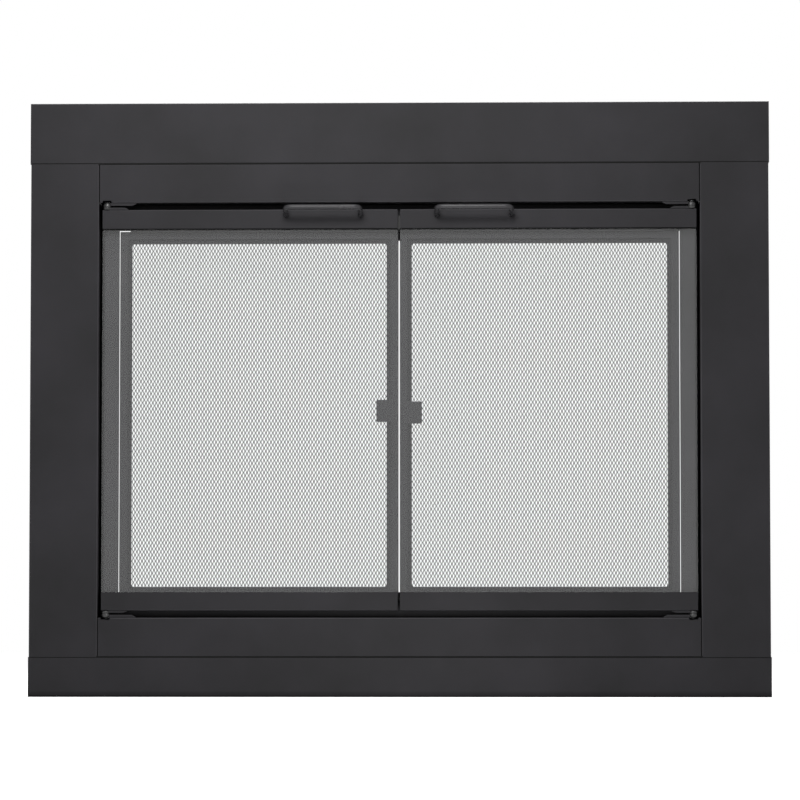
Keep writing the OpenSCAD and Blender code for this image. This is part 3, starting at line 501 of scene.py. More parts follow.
# Each piece's edge radius, in mm
EASED = {
    "door_frame_top_bar": 0.8,
    "door_frame_bottom_bar": 0.8,
    "left_frame_stile": 1.0,
    "right_frame_stile": 1.0,
    "frame_hinge_leaves": 0.6,
    "screen_top_rail": 1.0,
    "screen_bottom_rail": 1.0,
    "screen_catch_plate": 1.0,
    "magnet_holder": 0.5,
    "door_magnets": 0.4,
    "screen_magnets": 0.4,
    "hearth_brackets": 1.6,
    "clamp_arms": 0.9,
}
EASED_PAIRS = {
    "glass": 0.6,
    "top_rail": 0.5,
    "bottom_rail": 0.5,
    "glass_liners": 0.12,
    "hinge_leaves": 0.6,
    "screen_frame": 0.6,
    "screen_tab": 0.36,
}


def let_light_through(pane):
    """The lamps shine through a pane as if it weren't there."""
    pane.visible_shadow = False
    pane.visible_diffuse = False
    pane.visible_glossy = False


for node in SMOOTHED:
    smoothed(node)
for node, radius in EASED.items():
    eased(node, radius * MM)
for side in SIDES:
    for kind, radius in EASED_PAIRS.items():
        eased(side + "_" + kind, radius * MM)
for side in SIDES:
    let_light_through(bpy.data.objects[side + "_glass_eased"])


# ---- Pivots ----

CHAMFER = 0.35 * MM
BORE_R = 2.55 * MM
DOME_POWER = 2.6
DOME_STEPS = 14
DOME_FLAT = 0.12
BUSH_CAP = 0.9 * MM
PIVOT_PIN_R = 2.5 * MM
PIN_HEAD_T = 2.0 * MM
COLLAR_ROUND = 1.8 * MM
COLLAR_TURNS = (0.0, 0.3, 0.6, 0.9, 1.2, math.pi / 2)


def bush(form, low, high, up):
    """A blind bush with a domed end: its mouth faces the door."""
    radius, height = (high.x - low.x) / 2, high.z - low.z
    dome = []
    for k in range(1, DOME_STEPS):
        share = k / DOME_STEPS
        dome.append((radius * (1 - share ** DOME_POWER) ** (1 / DOME_POWER), height * share))
    dome.append((radius * DOME_FLAT, height))
    mouth = [(BORE_R, height - BUSH_CAP), (BORE_R, CHAMFER), (BORE_R + CHAMFER, 0),
             (radius - CHAMFER / 2, 0), (radius, CHAMFER)]
    turned(form, mouth + dome, foot_of(low, high, up), up)


def collar(form, low, high, up):
    """A collar whose lower edge is rounded away."""
    radius, height = (high.x - low.x) / 2, high.z - low.z
    soft = CHAMFER / 2
    foot = [(radius - COLLAR_ROUND * (1 - math.sin(turn)), COLLAR_ROUND * (1 - math.cos(turn)))
            for turn in COLLAR_TURNS]
    top = [(radius, height - soft), (radius - soft, height), (BORE_R + CHAMFER, height),
           (BORE_R, height - CHAMFER)]
    bore = [(BORE_R, CHAMFER), (BORE_R + CHAMFER, 0)]
    turned(form, bore + foot + top, foot_of(low, high, up), up, closed=True)


def pin(form, low, high, up):
    """A pin with rounded ends; where it has a head, the head is at its foot."""
    height = high.z - low.z
    soft = CHAMFER / 2
    head_r = (high.x - low.x) / 2
    shank_r, head_t = (PIVOT_PIN_R, PIN_HEAD_T) if head_r > PIVOT_PIN_R else (head_r, height / 2)
    head = [(head_r - CHAMFER, 0), (head_r, CHAMFER), (head_r, head_t - soft), (head_r - soft, head_t)]
    shank = [(shank_r, head_t + soft), (shank_r, height - CHAMFER), (shank_r - CHAMFER, height)]
    turned(form, head + shank, foot_of(low, high, up), up)


def turned_set(node, maker):
    """One turned piece for each solid of the node, upside down below the middle of the opening."""
    form = bmesh.new()
    for points in solids(node):
        low, high = span(points)
        maker(form, low, high, 1 if low.z > MIDDLE_Z else -1)
    return stand_in(made(node + "_turned", form, FINISHES[SLOT_OF[node]]), node)


turned_set("pivot_bushes", bush)
for side in SIDES:
    turned_set(side + "_pivot_collars", collar)
    turned_set(side + "_pivot_pins", pin)
    turned_set(side + "_screen_pins", pin)


# ---- What keeps daylight out of the notches and seams, and painted shade in the panels' seams ----

SHEET_T = 1.5 * MM
NOTCH_R = 7.3 * MM
WEB_OUT, WEB_IN = 7.8 * MM, 9.5 * MM
WEB_GAP = 0.5 * MM
WEB_T = 1.2 * MM
WEB_H = 7 * MM
WEB_FOOT = 4.5 * MM
# Back and rise from the web's front corner on the lip
WEB_SECTION = [(0, 0), (WEB_FOOT, 0), (WEB_FOOT, WEB_T), (WEB_T, WEB_T), (WEB_T, WEB_H), (0, WEB_H)]


def notch_webs(bar, lip_z, up):
    """A short angle on the bar's lip behind each bush, which closes the notch there to daylight.

    It runs WEB_OUT past the bush towards the bar's end, and WEB_IN towards the middle of the bar.
    """
    form = bmesh.new()
    for points in solids("pivot_bushes"):
        low, high = span(points)
        if (low.z > MIDDLE_Z) != (up > 0):
            continue
        middle_x, middle_y = (low.x + high.x) / 2, (low.y + high.y) / 2
        toward = -1 if middle_x > 0 else 1
        front = middle_y + NOTCH_R + WEB_GAP
        skin(form, [[Vector((x, front + back, lip_z + up * rise)) for back, rise in WEB_SECTION]
                    for x in (middle_x - toward * WEB_OUT, middle_x + toward * WEB_IN)])
    piece = made(bar + "_notch_webs", form, PAINT)
    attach(piece, BODY_OF[bar])


SEAM_DROP = 1.2 * MM
SEAM_DEPTH = 11 * MM
SEAM_PLAY = 0.05 * MM


def seam_strips(bar):
    """Black woven strips in the two upright seams at the ends of a bar, set back from the front."""
    low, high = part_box(bar)
    seams = [(low.x, high_of("left_side_panel").x), (high.x, low_of("right_side_panel").x)]
    form = bmesh.new()
    for bar_end, panel_edge in seams:
        west = min(bar_end, panel_edge) + SEAM_PLAY
        east = max(bar_end, panel_edge) - SEAM_PLAY
        section = [(west, SEAM_DROP), (east, SEAM_DROP), (east, SEAM_DEPTH), (west, SEAM_DEPTH)]
        skin(form, [[Vector((x, low.y + back, z)) for x, back in section]
                    for z in (low.z + SHEET_T, high.z - SHEET_T)])
    piece = made(bar + "_seam_strips", form, LINER)
    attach(piece, BODY_OF[bar])


FOLD_R = 2 * MM
# Depths in the groove, at each of which the painted-shade bead reaches the fold above it and the one below
SHADE_BEAD_DEPTHS = [0.13 * MM, 0.4 * MM, 0.7 * MM, 1.1 * MM, 1.6 * MM]


def seam_shade_bead(panel, z):
    """Painted shade: a black bead in the woven liner's finish that fills the groove between the folds of a
    panel and the pieces next to it.
    """
    low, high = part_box(panel)
    halves = [FOLD_R - math.sqrt(FOLD_R ** 2 - (FOLD_R - depth) ** 2) for depth in SHADE_BEAD_DEPTHS]
    outline = list(zip(SHADE_BEAD_DEPTHS, halves))
    outline += [(depth, -half) for depth, half in reversed(outline)]
    form = bmesh.new()
    skin(form, [[Vector((x, low.y + depth, z + half)) for depth, half in outline]
                for x in (low.x + FOLD_R, high.x - FOLD_R)])
    piece = made(panel + "_seam_bead", form, LINER)
    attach(piece, BODY_OF[panel])


seam_strips("door_frame_top_bar")
seam_strips("door_frame_bottom_bar")
# Black beads in the panels' seams, as painted shade
seam_shade_bead("top_panel", low_of("top_panel").z)
seam_shade_bead("bottom_panel", high_of("bottom_panel").z)
notch_webs("door_frame_top_bar", low_of("door_frame_top_bar").z + SHEET_T, 1)
notch_webs("door_frame_bottom_bar", high_of("door_frame_bottom_bar").z - SHEET_T, -1)


# ---- Handles ----

HANDLE_CC = 96 * MM
HANDLE_BEND_R = 8 * MM
HANDLE_RISE = 7.7 * MM  # of the bar above the legs' ends
BEND_STEPS = 12
ROD_STEPS = 24


def handle_path(side):
    """The middle line of a bent rod that slopes down to its rail, its legs' slope and its radius."""
    low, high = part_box(side + "_handle")
    rod_r = (high.x - low.x - HANDLE_CC) / 2
    out = high.y - low.y - rod_r
    bar = Vector(((low.x + high.x) / 2, low.y + rod_r, high.z - rod_r))
    slope = Vector((0, out, -HANDLE_RISE)).normalized()
    leg_l = math.hypot(out, HANDLE_RISE)
    half = HANDLE_CC / 2
    flat = [(-half, leg_l)]
    for end in (-1, 1):
        for k in range(BEND_STEPS + 1):
            turn = math.pi / 2 * (k if end < 0 else BEND_STEPS - k) / BEND_STEPS
            across = half - HANDLE_BEND_R * (1 - math.cos(turn))
            flat.append((end * across, HANDLE_BEND_R * (1 - math.sin(turn))))
    flat.append((half, leg_l))
    return [bar + Vector((across, 0, 0)) + slope * back for across, back in flat], slope, rod_r


def handle(side):
    """A smooth round rod swept along its path, cut off flush with the rail."""
    path, slope, rod_r = handle_path(side)
    face_y = high_of(side + "_handle").y
    normal = slope.cross(Vector((1, 0, 0))).normalized()
    rings = []
    for k, point in enumerate(path):
        along = (path[min(k + 1, len(path) - 1)] - path[max(k - 1, 0)]).normalized()
        across = normal.cross(along).normalized()
        ring = []
        for step in range(ROD_STEPS):
            turn = 2 * math.pi * step / ROD_STEPS
            ring.append(point + (across * math.cos(turn) + normal * math.sin(turn)) * rod_r)
        rings.append(ring)
    for ring in (rings[0], rings[-1]):
        for k, point in enumerate(ring):
            ring[k] = point + slope * ((face_y - point.y) / slope.y)
    form = bmesh.new()
    skin(form, rings)
    return stand_in(made(side + "_handle_rod", form, HANDLE_PAINT), side + "_handle")


for side in SIDES:
    handle(side)


# ---- Patterns of fasteners: heads stand on z = 0, and shanks hang below it ----

# Shares of a hexagon's width across its flats
HEX_FACE = 0.46
HEX_STEP = 0.02
HEX_CROWN = 0.8
CHAMFER_SLOPE = math.tan(math.radians(30))
NUT_LIP = 0.4 * MM

# A thread's depth as a share of its pitch, its rings to a turn, and the slope of its tip
THREAD_DEPTH = 0.5
THREAD_RINGS = 6
TIP_SLOPE = 0.8

# Shares of a head's radius and height: its eased foot, the rim where its dome starts, the dome's rings
RIVET_FOOT_R, RIVET_FOOT_H = 0.97, 0.12
RIVET_RIM = 0.2
RIVET_ROUND = (0.97, 0.9, 0.78, 0.62, 0.43, 0.22, 0.06)
BUTTON_FOOT_R, BUTTON_FOOT_H = 0.96, 0.1
BUTTON_RIM = 0.3
BUTTON_ROUND = (0.97, 0.9, 0.8, 0.68, 0.55)
SOCKET_FLATS = 0.62
SOCKET_MOUTH, SOCKET_FLOOR = 0.97, 0.35

# A plain shank's tip, as shares of its radius and length
TIP_R, TIP_START = 0.93, 0.97


def hex_ring(flats, z, slope=0.0):
    """A hexagon's outline; with a slope, its corners drop away below z as a chamfer leaves them."""
    ring = []
    for turn in TURNS:
        radius = flats / 2 / math.cos(turn % (math.pi / 3) - math.pi / 6)
        drop = slope * (radius - flats / 2)
        ring.append(Vector((radius * math.cos(turn), radius * math.sin(turn), z - drop)))
    return ring


def hex_head_rings(flats, low, high):
    """A hexagon head's rings, from its washer face at low to its chamfered end at high."""
    face_r, step = flats * HEX_FACE, flats * HEX_STEP
    return [round_ring(face_r, low), round_ring(face_r, low + step), hex_ring(flats, low + step),
            hex_ring(flats, high - step, CHAMFER_SLOPE), round_ring(face_r, high),
            round_ring(face_r * HEX_CROWN, high - step / 2)]


def thread_rings(radius, pitch, low, high):
    """A screw thread's rings from low to high, with a chamfered tip."""
    depth = pitch * THREAD_DEPTH
    count = round((high - low) / pitch * THREAD_RINGS)
    rings = []
    for k in range(count + 1):
        z = low + (high - low) * k / count
        most = radius - depth + min(depth, (high - z) * TIP_SLOPE)
        ring = []
        for turn in TURNS:
            crest = radius - depth * (0.5 - 0.5 * math.cos(2 * math.pi * z / pitch - turn))
            thread_r = min(crest, most)
            ring.append(Vector((thread_r * math.cos(turn), thread_r * math.sin(turn), z)))
        rings.append(ring)
    return rings


def flipped(rings):
    """The rings turned upside down about X, with their points in the same order round the axis."""
    return [[Vector((ring[-k].x, -ring[-k].y, -ring[-k].z)) for k in range(len(ring))] for ring in rings]


patterns = []


def pattern(name, rings, closed=False):
    """A fastener's pattern at the origin, to be set out by Geometry Nodes and then removed."""
    form = bmesh.new()
    skin(form, rings, closed)
    shape = made(name, form, ZINC)
    patterns.append(shape)
    return shape


def hex_head(flats, height):
    return pattern("hex_head", hex_head_rings(flats, 0, height))


def hex_nut(flats, bore_r, height):
    """A nut with both ends and both mouths of its bore chamfered."""
    face_r, step, mouth_r = flats * HEX_FACE, flats * HEX_STEP, bore_r + NUT_LIP
    return pattern("hex_nut", [
        round_ring(bore_r, NUT_LIP), round_ring(mouth_r, 0), round_ring(face_r, 0),
        hex_ring(flats, step, -CHAMFER_SLOPE), hex_ring(flats, height - step, CHAMFER_SLOPE),
        round_ring(face_r, height), round_ring(mouth_r, height), round_ring(bore_r, height - NUT_LIP),
    ], closed=True)


def domed_head(radius, height):
    """A rivet's head, struck to a low dome."""
    rings = [round_ring(radius * RIVET_FOOT_R, 0), round_ring(radius, height * RIVET_FOOT_H)]
    for share in RIVET_ROUND:
        rise = math.sqrt(1 - share ** 2)
        rings.append(round_ring(radius * share, height * (RIVET_RIM + (1 - RIVET_RIM) * rise)))
    return pattern("domed_head", rings)


def socket_head(radius, height):
    """A low button head with a hexagon socket."""
    rings = [round_ring(radius * BUTTON_FOOT_R, 0), round_ring(radius, height * BUTTON_FOOT_H),
             round_ring(radius, height * BUTTON_RIM)]
    for share in BUTTON_ROUND:
        rise = math.sqrt((1 - share) / (1 - BUTTON_ROUND[-1]))
        rings.append(round_ring(radius * share, height * (BUTTON_RIM + (1 - BUTTON_RIM) * rise)))
    rings.append(hex_ring(radius * SOCKET_FLATS, height * SOCKET_MOUTH))
    rings.append(hex_ring(radius * SOCKET_FLATS, height * SOCKET_FLOOR))
    return pattern("socket_head", rings)


def plain_shank(radius):
    """A shank 1 mm long behind its seat, to be stretched to its length."""
    return pattern("plain_shank", [round_ring(radius, 0), round_ring(radius, -TIP_START * MM),
                                   round_ring(radius * TIP_R, -MM)])


def threaded_shank(radius, pitch, length):
    rings = [round_ring(radius, 0)] + thread_rings(radius, pitch, MM, length)
    return pattern("threaded_shank", flipped(rings))


# ---- Geometry Nodes ----

# Sockets of the Random Value node, whose names aren't theirs alone
RANDOM_MOST_IN, RANDOM_FLOAT_OUT = 3, 1


class Grow:
    """A Geometry Nodes tree with named inputs for its sizes."""

    def __init__(self, name):
        self.tree = bpy.data.node_groups.new(name, "GeometryNodeTree")
        self.tree.interface.new_socket("Geometry", in_out="OUTPUT", socket_type="NodeSocketGeometry")
        self.tree.interface.new_socket("Seats", in_out="INPUT", socket_type="NodeSocketGeometry")
        self.inputs = self.tree.nodes.new("NodeGroupInput")
        self.result = self.tree.nodes.new("NodeGroupOutput")
        self.sockets = {}

    def size(self, name, kind="NodeSocketFloat"):
        """Adds an input, and gives it to the tree's nodes."""
        item = self.tree.interface.new_socket(name, in_out="INPUT", socket_type=kind)
        self.sockets[name] = item.identifier
        return self.inputs.outputs[name]

    def add(self, kind, inputs=None, **settings):
        node = self.tree.nodes.new(kind)
        for key, value in settings.items():
            setattr(node, key, value)
        for key, value in (inputs or {}).items():
            if isinstance(value, bpy.types.NodeSocket):
                self.tree.links.new(value, node.inputs[key])
            else:
                node.inputs[key].default_value = value
        return node

    def math(self, operation, first, second):
        return self.add("ShaderNodeMath", {0: first, 1: second}, operation=operation).outputs[0]

    def vector(self, x=0.0, y=0.0, z=0.0):
        return self.add("ShaderNodeCombineXYZ", {"X": x, "Y": y, "Z": z}).outputs[0]

    def attribute(self, name, kind):
        return self.add("GeometryNodeInputNamedAttribute", {"Name": name}, data_type=kind).outputs[0]

    def odd(self):
        """1 on every other point, and 0 between."""
        return self.math("MODULO", self.add("GeometryNodeInputIndex").outputs[0], 2.0)

    def finish(self, geometry, material):
        """Ends the tree with real geometry in its material."""
        real = self.add("GeometryNodeRealizeInstances", {"Geometry": geometry})
        dressed = self.add("GeometryNodeSetMaterial", {"Geometry": real.outputs[0], "Material": material})
        self.tree.links.new(dressed.outputs[0], self.result.inputs[0])
        return self

    def piece(self, name, values, seats=None):
        """Runs the tree with these values, on the seats if it has any, and keeps the result as a mesh."""
        holder = in_scene(name, seats or bpy.data.meshes.new(name))
        modifier = holder.modifiers.new("grow", "NODES")
        modifier.node_group = self.tree
        for key, value in values.items():
            if value is not None:
                modifier[self.sockets[key]] = value
        mesh = grown_mesh(holder)
        bpy.data.objects.remove(holder)
        mesh.name = name
        mesh.materials.clear()
        mesh.materials.append(values["Finish"])
        return in_scene(name, mesh)


# ---- Fasteners, set out on their seats ----

SEAT_PLAY = 0.1 * MM


def set_out_tree():
    """Puts a head on every seat, facing outward and turned at random, with its shank behind it."""
    grow = Grow("set_out")
    head = grow.size("Head", "NodeSocketObject")
    shank = grow.size("Shank", "NodeSocketObject")
    seed = grow.size("Seed", "NodeSocketInt")
    finish = grow.size("Finish", "NodeSocketMaterial")
    seats = grow.inputs.outputs["Seats"]
    facing = grow.attribute("facing", "FLOAT_VECTOR")
    stretch = grow.attribute("stretch", "FLOAT")
    outward = grow.add("FunctionNodeAlignRotationToVector", {"Vector": facing}, axis="Z").outputs[0]
    spin = grow.add("FunctionNodeRandomValue", {RANDOM_MOST_IN: 2 * math.pi, "Seed": seed},
                    data_type="FLOAT").outputs[RANDOM_FLOAT_OUT]
    twist = grow.add("FunctionNodeEulerToRotation", {0: grow.vector(z=spin)}).outputs[0]
    turn = grow.add("FunctionNodeRotateRotation", {"Rotation": outward, "Rotate By": twist},
                    rotation_space="LOCAL").outputs[0]
    joined = grow.add("GeometryNodeJoinGeometry")
    for shape, scale in ((head, grow.vector(1.0, 1.0, 1.0)), (shank, grow.vector(1.0, 1.0, stretch))):
        source = grow.add("GeometryNodeObjectInfo", {"Object": shape}, transform_space="ORIGINAL")
        placed = grow.add("GeometryNodeInstanceOnPoints", {
            "Points": seats, "Instance": source.outputs["Geometry"], "Rotation": turn, "Scale": scale})
        grow.tree.links.new(placed.outputs[0], joined.inputs[0])
    return grow.finish(joined.outputs[0], finish)


def seat_of(points, axis):
    """Where a fastener's head sits, the way it faces, and the length of shank behind it."""
    low, high = span(points)
    middle = (low + high) / 2
    away = [point - middle for point in points]
    for offset in away:
        offset[axis] = 0
    widest = max(offset.length for offset in away)
    wide = [point[axis] for point, offset in zip(points, away) if offset.length > widest - SEAT_PLAY]
    head_low, head_high = min(wide), max(wide)
    facing = Vector((0, 0, 0))
    if high[axis] > head_high + SEAT_PLAY:
        facing[axis], middle[axis], length = -1, head_high, high[axis] - head_high
    else:
        facing[axis], middle[axis], length = 1, head_low, head_low - low[axis]
    return middle, facing, length


def fastened(node, axis, head, seed, shank=None, shank_l=MM):
    """The node's fasteners: a head at each of its solids, and behind it a shank, stretched from shank_l."""
    seats = [seat_of(points, axis) for points in solids(node)]
    mesh = bpy.data.meshes.new(node + "_seats")
    mesh.from_pydata([seat for seat, facing, length in seats], [], [])
    facings = mesh.attributes.new("facing", "FLOAT_VECTOR", "POINT")
    facings.data.foreach_set("vector", [value for seat, facing, length in seats for value in facing])
    stretches = mesh.attributes.new("stretch", "FLOAT", "POINT")
    stretches.data.foreach_set("value", [length / shank_l for seat, facing, length in seats])
    values = {"Head": head, "Shank": shank, "Seed": seed, "Finish": FINISHES[SLOT_OF[node]]}
    return stand_in(set_out.piece(node + "_set", values, mesh), node)


BOLT_R, BOLT_L, BOLT_PITCH = 3 * MM, 16 * MM, 1.0 * MM
HEX_FLATS, BOLT_HEAD_H, NUT_H = 10 * MM, 4 * MM, 5 * MM
RIVET_R, RIVET_HEAD_R, RIVET_HEAD_H = 2 * MM, 3.5 * MM, 1.2 * MM
SMALL_RIVET_HEAD_R = 2.75 * MM
SCREW_R, SCREW_HEAD_R, SCREW_HEAD_H = 1.95 * MM, 4 * MM, 2.4 * MM
CLAMP_R, CLAMP_PITCH, CLAMP_FLATS = 4 * MM, 1.25 * MM, 13 * MM
CLAMP_NUT_H, CLAMP_HEAD_H = 6.4 * MM, 5.6 * MM

set_out = set_out_tree()
bolt_head = hex_head(HEX_FLATS, BOLT_HEAD_H)
bolt_nut = hex_nut(HEX_FLATS, BOLT_R, NUT_H)
clamp_nut = hex_nut(CLAMP_FLATS, CLAMP_R, CLAMP_NUT_H)
rivet_head = domed_head(RIVET_HEAD_R, RIVET_HEAD_H)
small_rivet_head = domed_head(SMALL_RIVET_HEAD_R, RIVET_HEAD_H)
screw_head = socket_head(SCREW_HEAD_R, SCREW_HEAD_H)
bolt_shank = threaded_shank(BOLT_R, BOLT_PITCH, BOLT_L)
rivet_shank = plain_shank(RIVET_R)
screw_shank = plain_shank(SCREW_R)

fastened("panel_bolts", UPRIGHT, bolt_head, seed=3, shank=bolt_shank, shank_l=BOLT_L)
fastened("panel_nuts", UPRIGHT, bolt_nut, seed=5)
fastened("clamp_nuts", UPRIGHT, clamp_nut, seed=7)
fastened("frame_rivets", UPRIGHT, rivet_head, seed=9, shank=rivet_shank)
fastened("bracket_screws", FORE_AFT, screw_head, seed=11, shank=screw_shank)
for side in SIDES:
    fastened(side + "_leaf_rivets", UPRIGHT, small_rivet_head, seed=13, shank=rivet_shank)
    fastened(side + "_handle_screws", FORE_AFT, screw_head, seed=15, shank=screw_shank)
for shape in patterns:
    bpy.data.objects.remove(shape)


# ---- Lintel clamps ----

PAD_RIM = 0.8 * MM
PAD_PLAY = 0.05 * MM
GRIP_GROOVE = 0.4 * MM
GRIP_RINGS = (0.82, 0.6, 0.38)


def clamp_screw(side):
    """A long hexagon-headed screw that stands on its head."""
    low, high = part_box(side + "_clamp_screw")
    head = flipped(hex_head_rings(CLAMP_FLATS, -CLAMP_HEAD_H, 0))[::-1]
    neck = [round_ring(CLAMP_R, CLAMP_HEAD_H)]
    thread = thread_rings(CLAMP_R, CLAMP_PITCH, CLAMP_HEAD_H + MM, high.z - low.z)
    base = foot_of(low, high)
    form = bmesh.new()
    skin(form, [[base + point for point in ring] for ring in head + neck + thread])
    return stand_in(made(side + "_clamp_screw_cut", form, ZINC), side + "_clamp_screw")


def clamp_pad(side):
    """A turned cup with a rounded rim and three grip rings on its face."""
    low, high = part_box(side + "_clamp_pad")
    radius, height = (high.x - low.x) / 2, high.z - low.z
    bore_r = CLAMP_R + PAD_PLAY
    soft = PAD_RIM / 3
    bore = [(bore_r, height / 2), (bore_r, CHAMFER), (bore_r + CHAMFER, 0)]
    wall = [(radius - PAD_RIM, 0), (radius - soft, soft), (radius, PAD_RIM), (radius, height - PAD_RIM),
            (radius - soft, height - soft), (radius - PAD_RIM, height)]
    face = []
    for share in GRIP_RINGS:
        face += [(radius * share + GRIP_GROOVE, height), (radius * share, height - GRIP_GROOVE),
                 (radius * share - GRIP_GROOVE, height)]
    form = bmesh.new()
    turned(form, bore + wall + face, foot_of(low, high))
    return stand_in(made(side + "_clamp_pad_turned", form, ZINC), side + "_clamp_pad")


for side in SIDES:
    clamp_screw(side)
    clamp_pad(side)


# ---- Expanded mesh ----

DIAMOND_W = 4.43 * MM
DIAMOND_H = 7.85 * MM
STRAND_W = 0.95 * MM
STRAND_T = 0.55 * MM
KNUCKLE_LAP = 0.7  # of a strand's width
SHEET_SET_BACK = 0.75 * STRAND_T


def expanded_mesh_tree():
    """Upright zigzag strands side by side, whose peaks meet to close the diamonds."""
    grow = Grow("expanded_mesh")
    strands = grow.size("Strands", "NodeSocketInt")
    bends = grow.size("Bends", "NodeSocketInt")
    pitch_w = grow.size("Diamond width")
    pitch_h = grow.size("Diamond height")
    width = grow.size("Strand width")
    thickness = grow.size("Strand thickness")
    corner = grow.size("Corner", "NodeSocketVector")
    finish = grow.size("Finish", "NodeSocketMaterial")

    half_w = grow.math("MULTIPLY", pitch_w, 0.5)
    half_h = grow.math("MULTIPLY", pitch_h, 0.5)
    peak_to_peak = grow.math("SUBTRACT", half_w, grow.math("MULTIPLY", width, KNUCKLE_LAP))
    swing = grow.math("MULTIPLY", grow.math("SUBTRACT", grow.odd(), 0.5), peak_to_peak)
    line = grow.add("GeometryNodeMeshLine", {"Count": bends, "Offset": grow.vector(z=half_h)})
    zigzag = grow.add("GeometryNodeSetPosition", {
        "Geometry": line.outputs[0], "Offset": grow.vector(x=swing)})
    curve = grow.add("GeometryNodeMeshToCurve", {"Mesh": zigzag.outputs[0]})
    section = grow.add("GeometryNodeCurvePrimitiveQuadrilateral", {"Width": thickness, "Height": width})
    strand = grow.add("GeometryNodeCurveToMesh", {
        "Curve": curve.outputs[0], "Profile Curve": section.outputs[0], "Fill Caps": True})
    row = grow.add("GeometryNodeMeshLine", {
        "Count": strands, "Start Location": corner, "Offset": grow.vector(x=half_w)})
    half_turn = grow.math("MULTIPLY", grow.odd(), math.pi)
    placed = grow.add("GeometryNodeInstanceOnPoints", {
        "Points": row.outputs[0], "Instance": strand.outputs[0], "Rotation": grow.vector(z=half_turn)})
    return grow.finish(placed.outputs[0], finish)


def expanded_mesh(tree, side):
    """One screen's sheet of expanded mesh, as many whole strands and bends as its place holds."""
    node = side + "_screen_mesh"
    low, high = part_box(node)
    half_w, half_h = DIAMOND_W / 2, DIAMOND_H / 2
    strands = int((high.x - low.x) / half_w)
    bends = int((high.z - low.z) / half_h) + 1
    spare_x = (high.x - low.x - (strands - 1) * half_w) / 2
    spare_z = (high.z - low.z - (bends - 1) * half_h) / 2
    corner = Vector((low.x + spare_x, low.y + SHEET_SET_BACK, low.z + spare_z))
    return stand_in(tree.piece(side + "_expanded_mesh", {
        "Strands": strands, "Bends": bends, "Diamond width": DIAMOND_W, "Diamond height": DIAMOND_H,
        "Strand width": STRAND_W, "Strand thickness": STRAND_T, "Corner": corner, "Finish": SCREEN_PAINT,
    }), node)


mesh_tree = expanded_mesh_tree()
for side in SIDES:
    expanded_mesh(mesh_tree, side)


# ---- Stage, light and camera ----

PHOTO_PX = 800
MM_PER_PX = 1.2841
CAMERA_DISTANCE = 5.0
CAMERA_AZIMUTH = math.radians(1.62)
CAMERA_ELEVATION = math.radians(-3.33)
CAMERA_AIM_X, CAMERA_AIM_Z = 1.5 * MM, 380.5 * MM
SENSOR = 36.0
FLOOR_REACH = 8.0
FLOOR_LEVELS = (0.78, 0.82)
FLOOR_GLOW = 0.8
BACKDROP_RAYS = ["Is Camera Ray", "Is Glossy Ray", "Is Transmission Ray"]
STUDIO_GREY = (0.18, 0.18, 0.18)
BLACK, WHITE = (0, 0, 0), (1, 1, 1)


def backdrop_mix(tree, studio_colour):
    """A colour that is the studio's, but plain white to the rays that look at the backdrop."""
    rays = tree.nodes.new("ShaderNodeLightPath")
    seen = rays.outputs[BACKDROP_RAYS[0]]
    for kind in BACKDROP_RAYS[1:]:
        either = tree.nodes.new("ShaderNodeMath")
        either.operation = "MAXIMUM"
        tree.links.new(seen, either.inputs[0])
        tree.links.new(rays.outputs[kind], either.inputs[1])
        seen = either.outputs[0]
    mix = tree.nodes.new("ShaderNodeMix")
    mix.data_type = "RGBA"
    mix.inputs["A"].default_value = (*studio_colour, 1)
    mix.inputs["B"].default_value = (*WHITE, 1)
    tree.links.new(seen, mix.inputs["Factor"])
    return mix.outputs["Result"]


def floor():
    """A pale floor. Looked at, it glows enough to end up white wherever the object doesn't shade it."""
    mesh = bpy.data.meshes.new("floor")
    corners = [(x * FLOOR_REACH, y * FLOOR_REACH, 0) for x, y in ((-1, -1), (1, -1), (1, 1), (-1, 1))]
    mesh.from_pydata(corners, [], [(0, 1, 2, 3)])
    shade = Shade("floor_white")
    speckle = shade.noise(scale=400.0, detail=2.0)
    dull, pale = (grey(level) for level in FLOOR_LEVELS)
    shade.feed("Base Color", shade.ramp(speckle, [(0.3, dull), (0.7, pale)]))
    shade.fix("Roughness", 0.9)
    shade.fix("Emission Strength", FLOOR_GLOW)
    shade.feed("Emission Color", backdrop_mix(shade.tree, BLACK))
    mesh.materials.append(shade.material)
    obj = in_scene("floor", mesh)


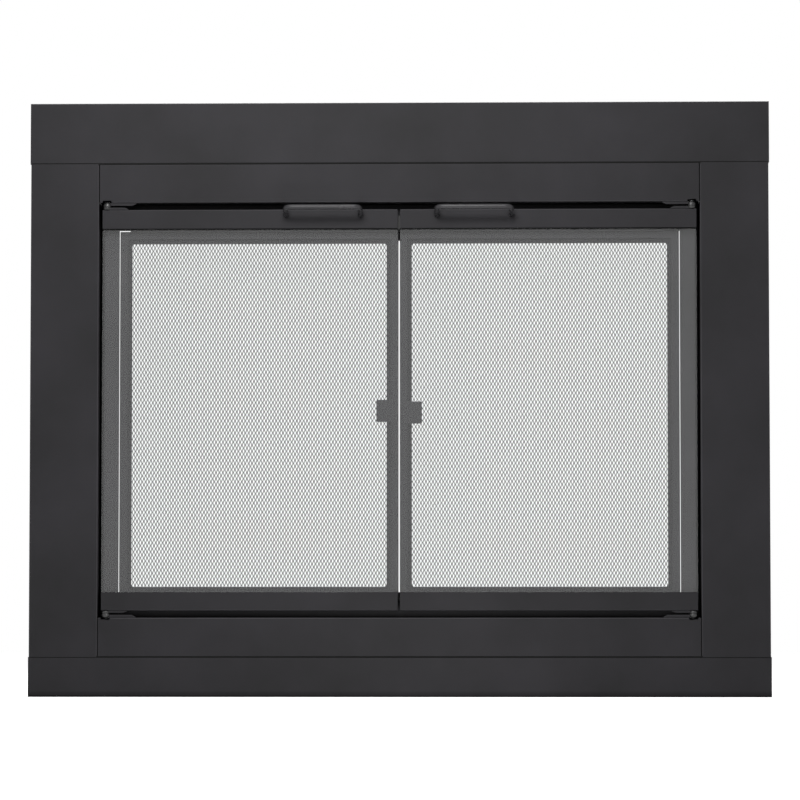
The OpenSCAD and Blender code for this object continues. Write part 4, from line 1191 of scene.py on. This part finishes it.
def studio():
    """White where it is looked at or seen in glass and metal, and a plain soft grey as a light."""
    scene = bpy.context.scene
    world = bpy.data.worlds.new("studio")
    world.use_nodes = True
    scene.world = world
    tree = world.node_tree
    tree.links.new(backdrop_mix(tree, STUDIO_GREY), tree.nodes["Background"].inputs["Color"])
    scene.view_settings.view_transform = "Standard"


def look_along(obj, direction):
    """Turns a lamp or a camera to look along a direction."""
    obj.rotation_euler = direction.to_track_quat("-Z", "Y").to_euler()


def softbox(name, place, aim, size, power):
    """A soft rectangular lamp at a place, turned to its aim, that the camera doesn't see."""
    lamp = bpy.data.lights.new(name, "AREA")
    lamp.shape = "RECTANGLE"
    lamp.size, lamp.size_y = size
    lamp.energy = power
    obj = in_scene(name, lamp)
    obj.location = place
    look_along(obj, Vector(aim) - Vector(place))
    obj.visible_camera = False


def camera():
    """Low and a little to the right, looking slightly up, as the photograph's edges converge."""
    aim = Vector((CAMERA_AIM_X, low_of("top_panel").y, CAMERA_AIM_Z))
    back = Vector((math.sin(CAMERA_AZIMUTH) * math.cos(CAMERA_ELEVATION),
                   -math.cos(CAMERA_AZIMUTH) * math.cos(CAMERA_ELEVATION), math.sin(CAMERA_ELEVATION)))
    data = bpy.data.cameras.new("camera")
    data.sensor_width = SENSOR
    data.lens = SENSOR * CAMERA_DISTANCE / (PHOTO_PX * MM_PER_PX * MM)
    obj = in_scene("camera", data)
    obj.location = aim + back * CAMERA_DISTANCE
    look_along(obj, -back)
    bpy.context.scene.camera = obj


floor()
studio()
softbox("key_softbox", place=(-0.15, -1.4, 1.25), aim=(-0.1, 0, 0.5), size=(0.7, 0.4), power=16.0)
softbox("rear_softbox", place=(0, 1.6, 2.8), aim=(0, 0, 0.4), size=(1.2, 0.9), power=70.0)
softbox("overhead_softbox", place=(-0.1, -0.45, 1.5), aim=(-0.1, -0.15, 0), size=(0.8, 0.3), power=3.0)
softbox("low_softbox", place=(0.02, -0.6, 0.02), aim=(0.02, 0, 0.35), size=(0.3, 0.2), power=1.2)
camera()
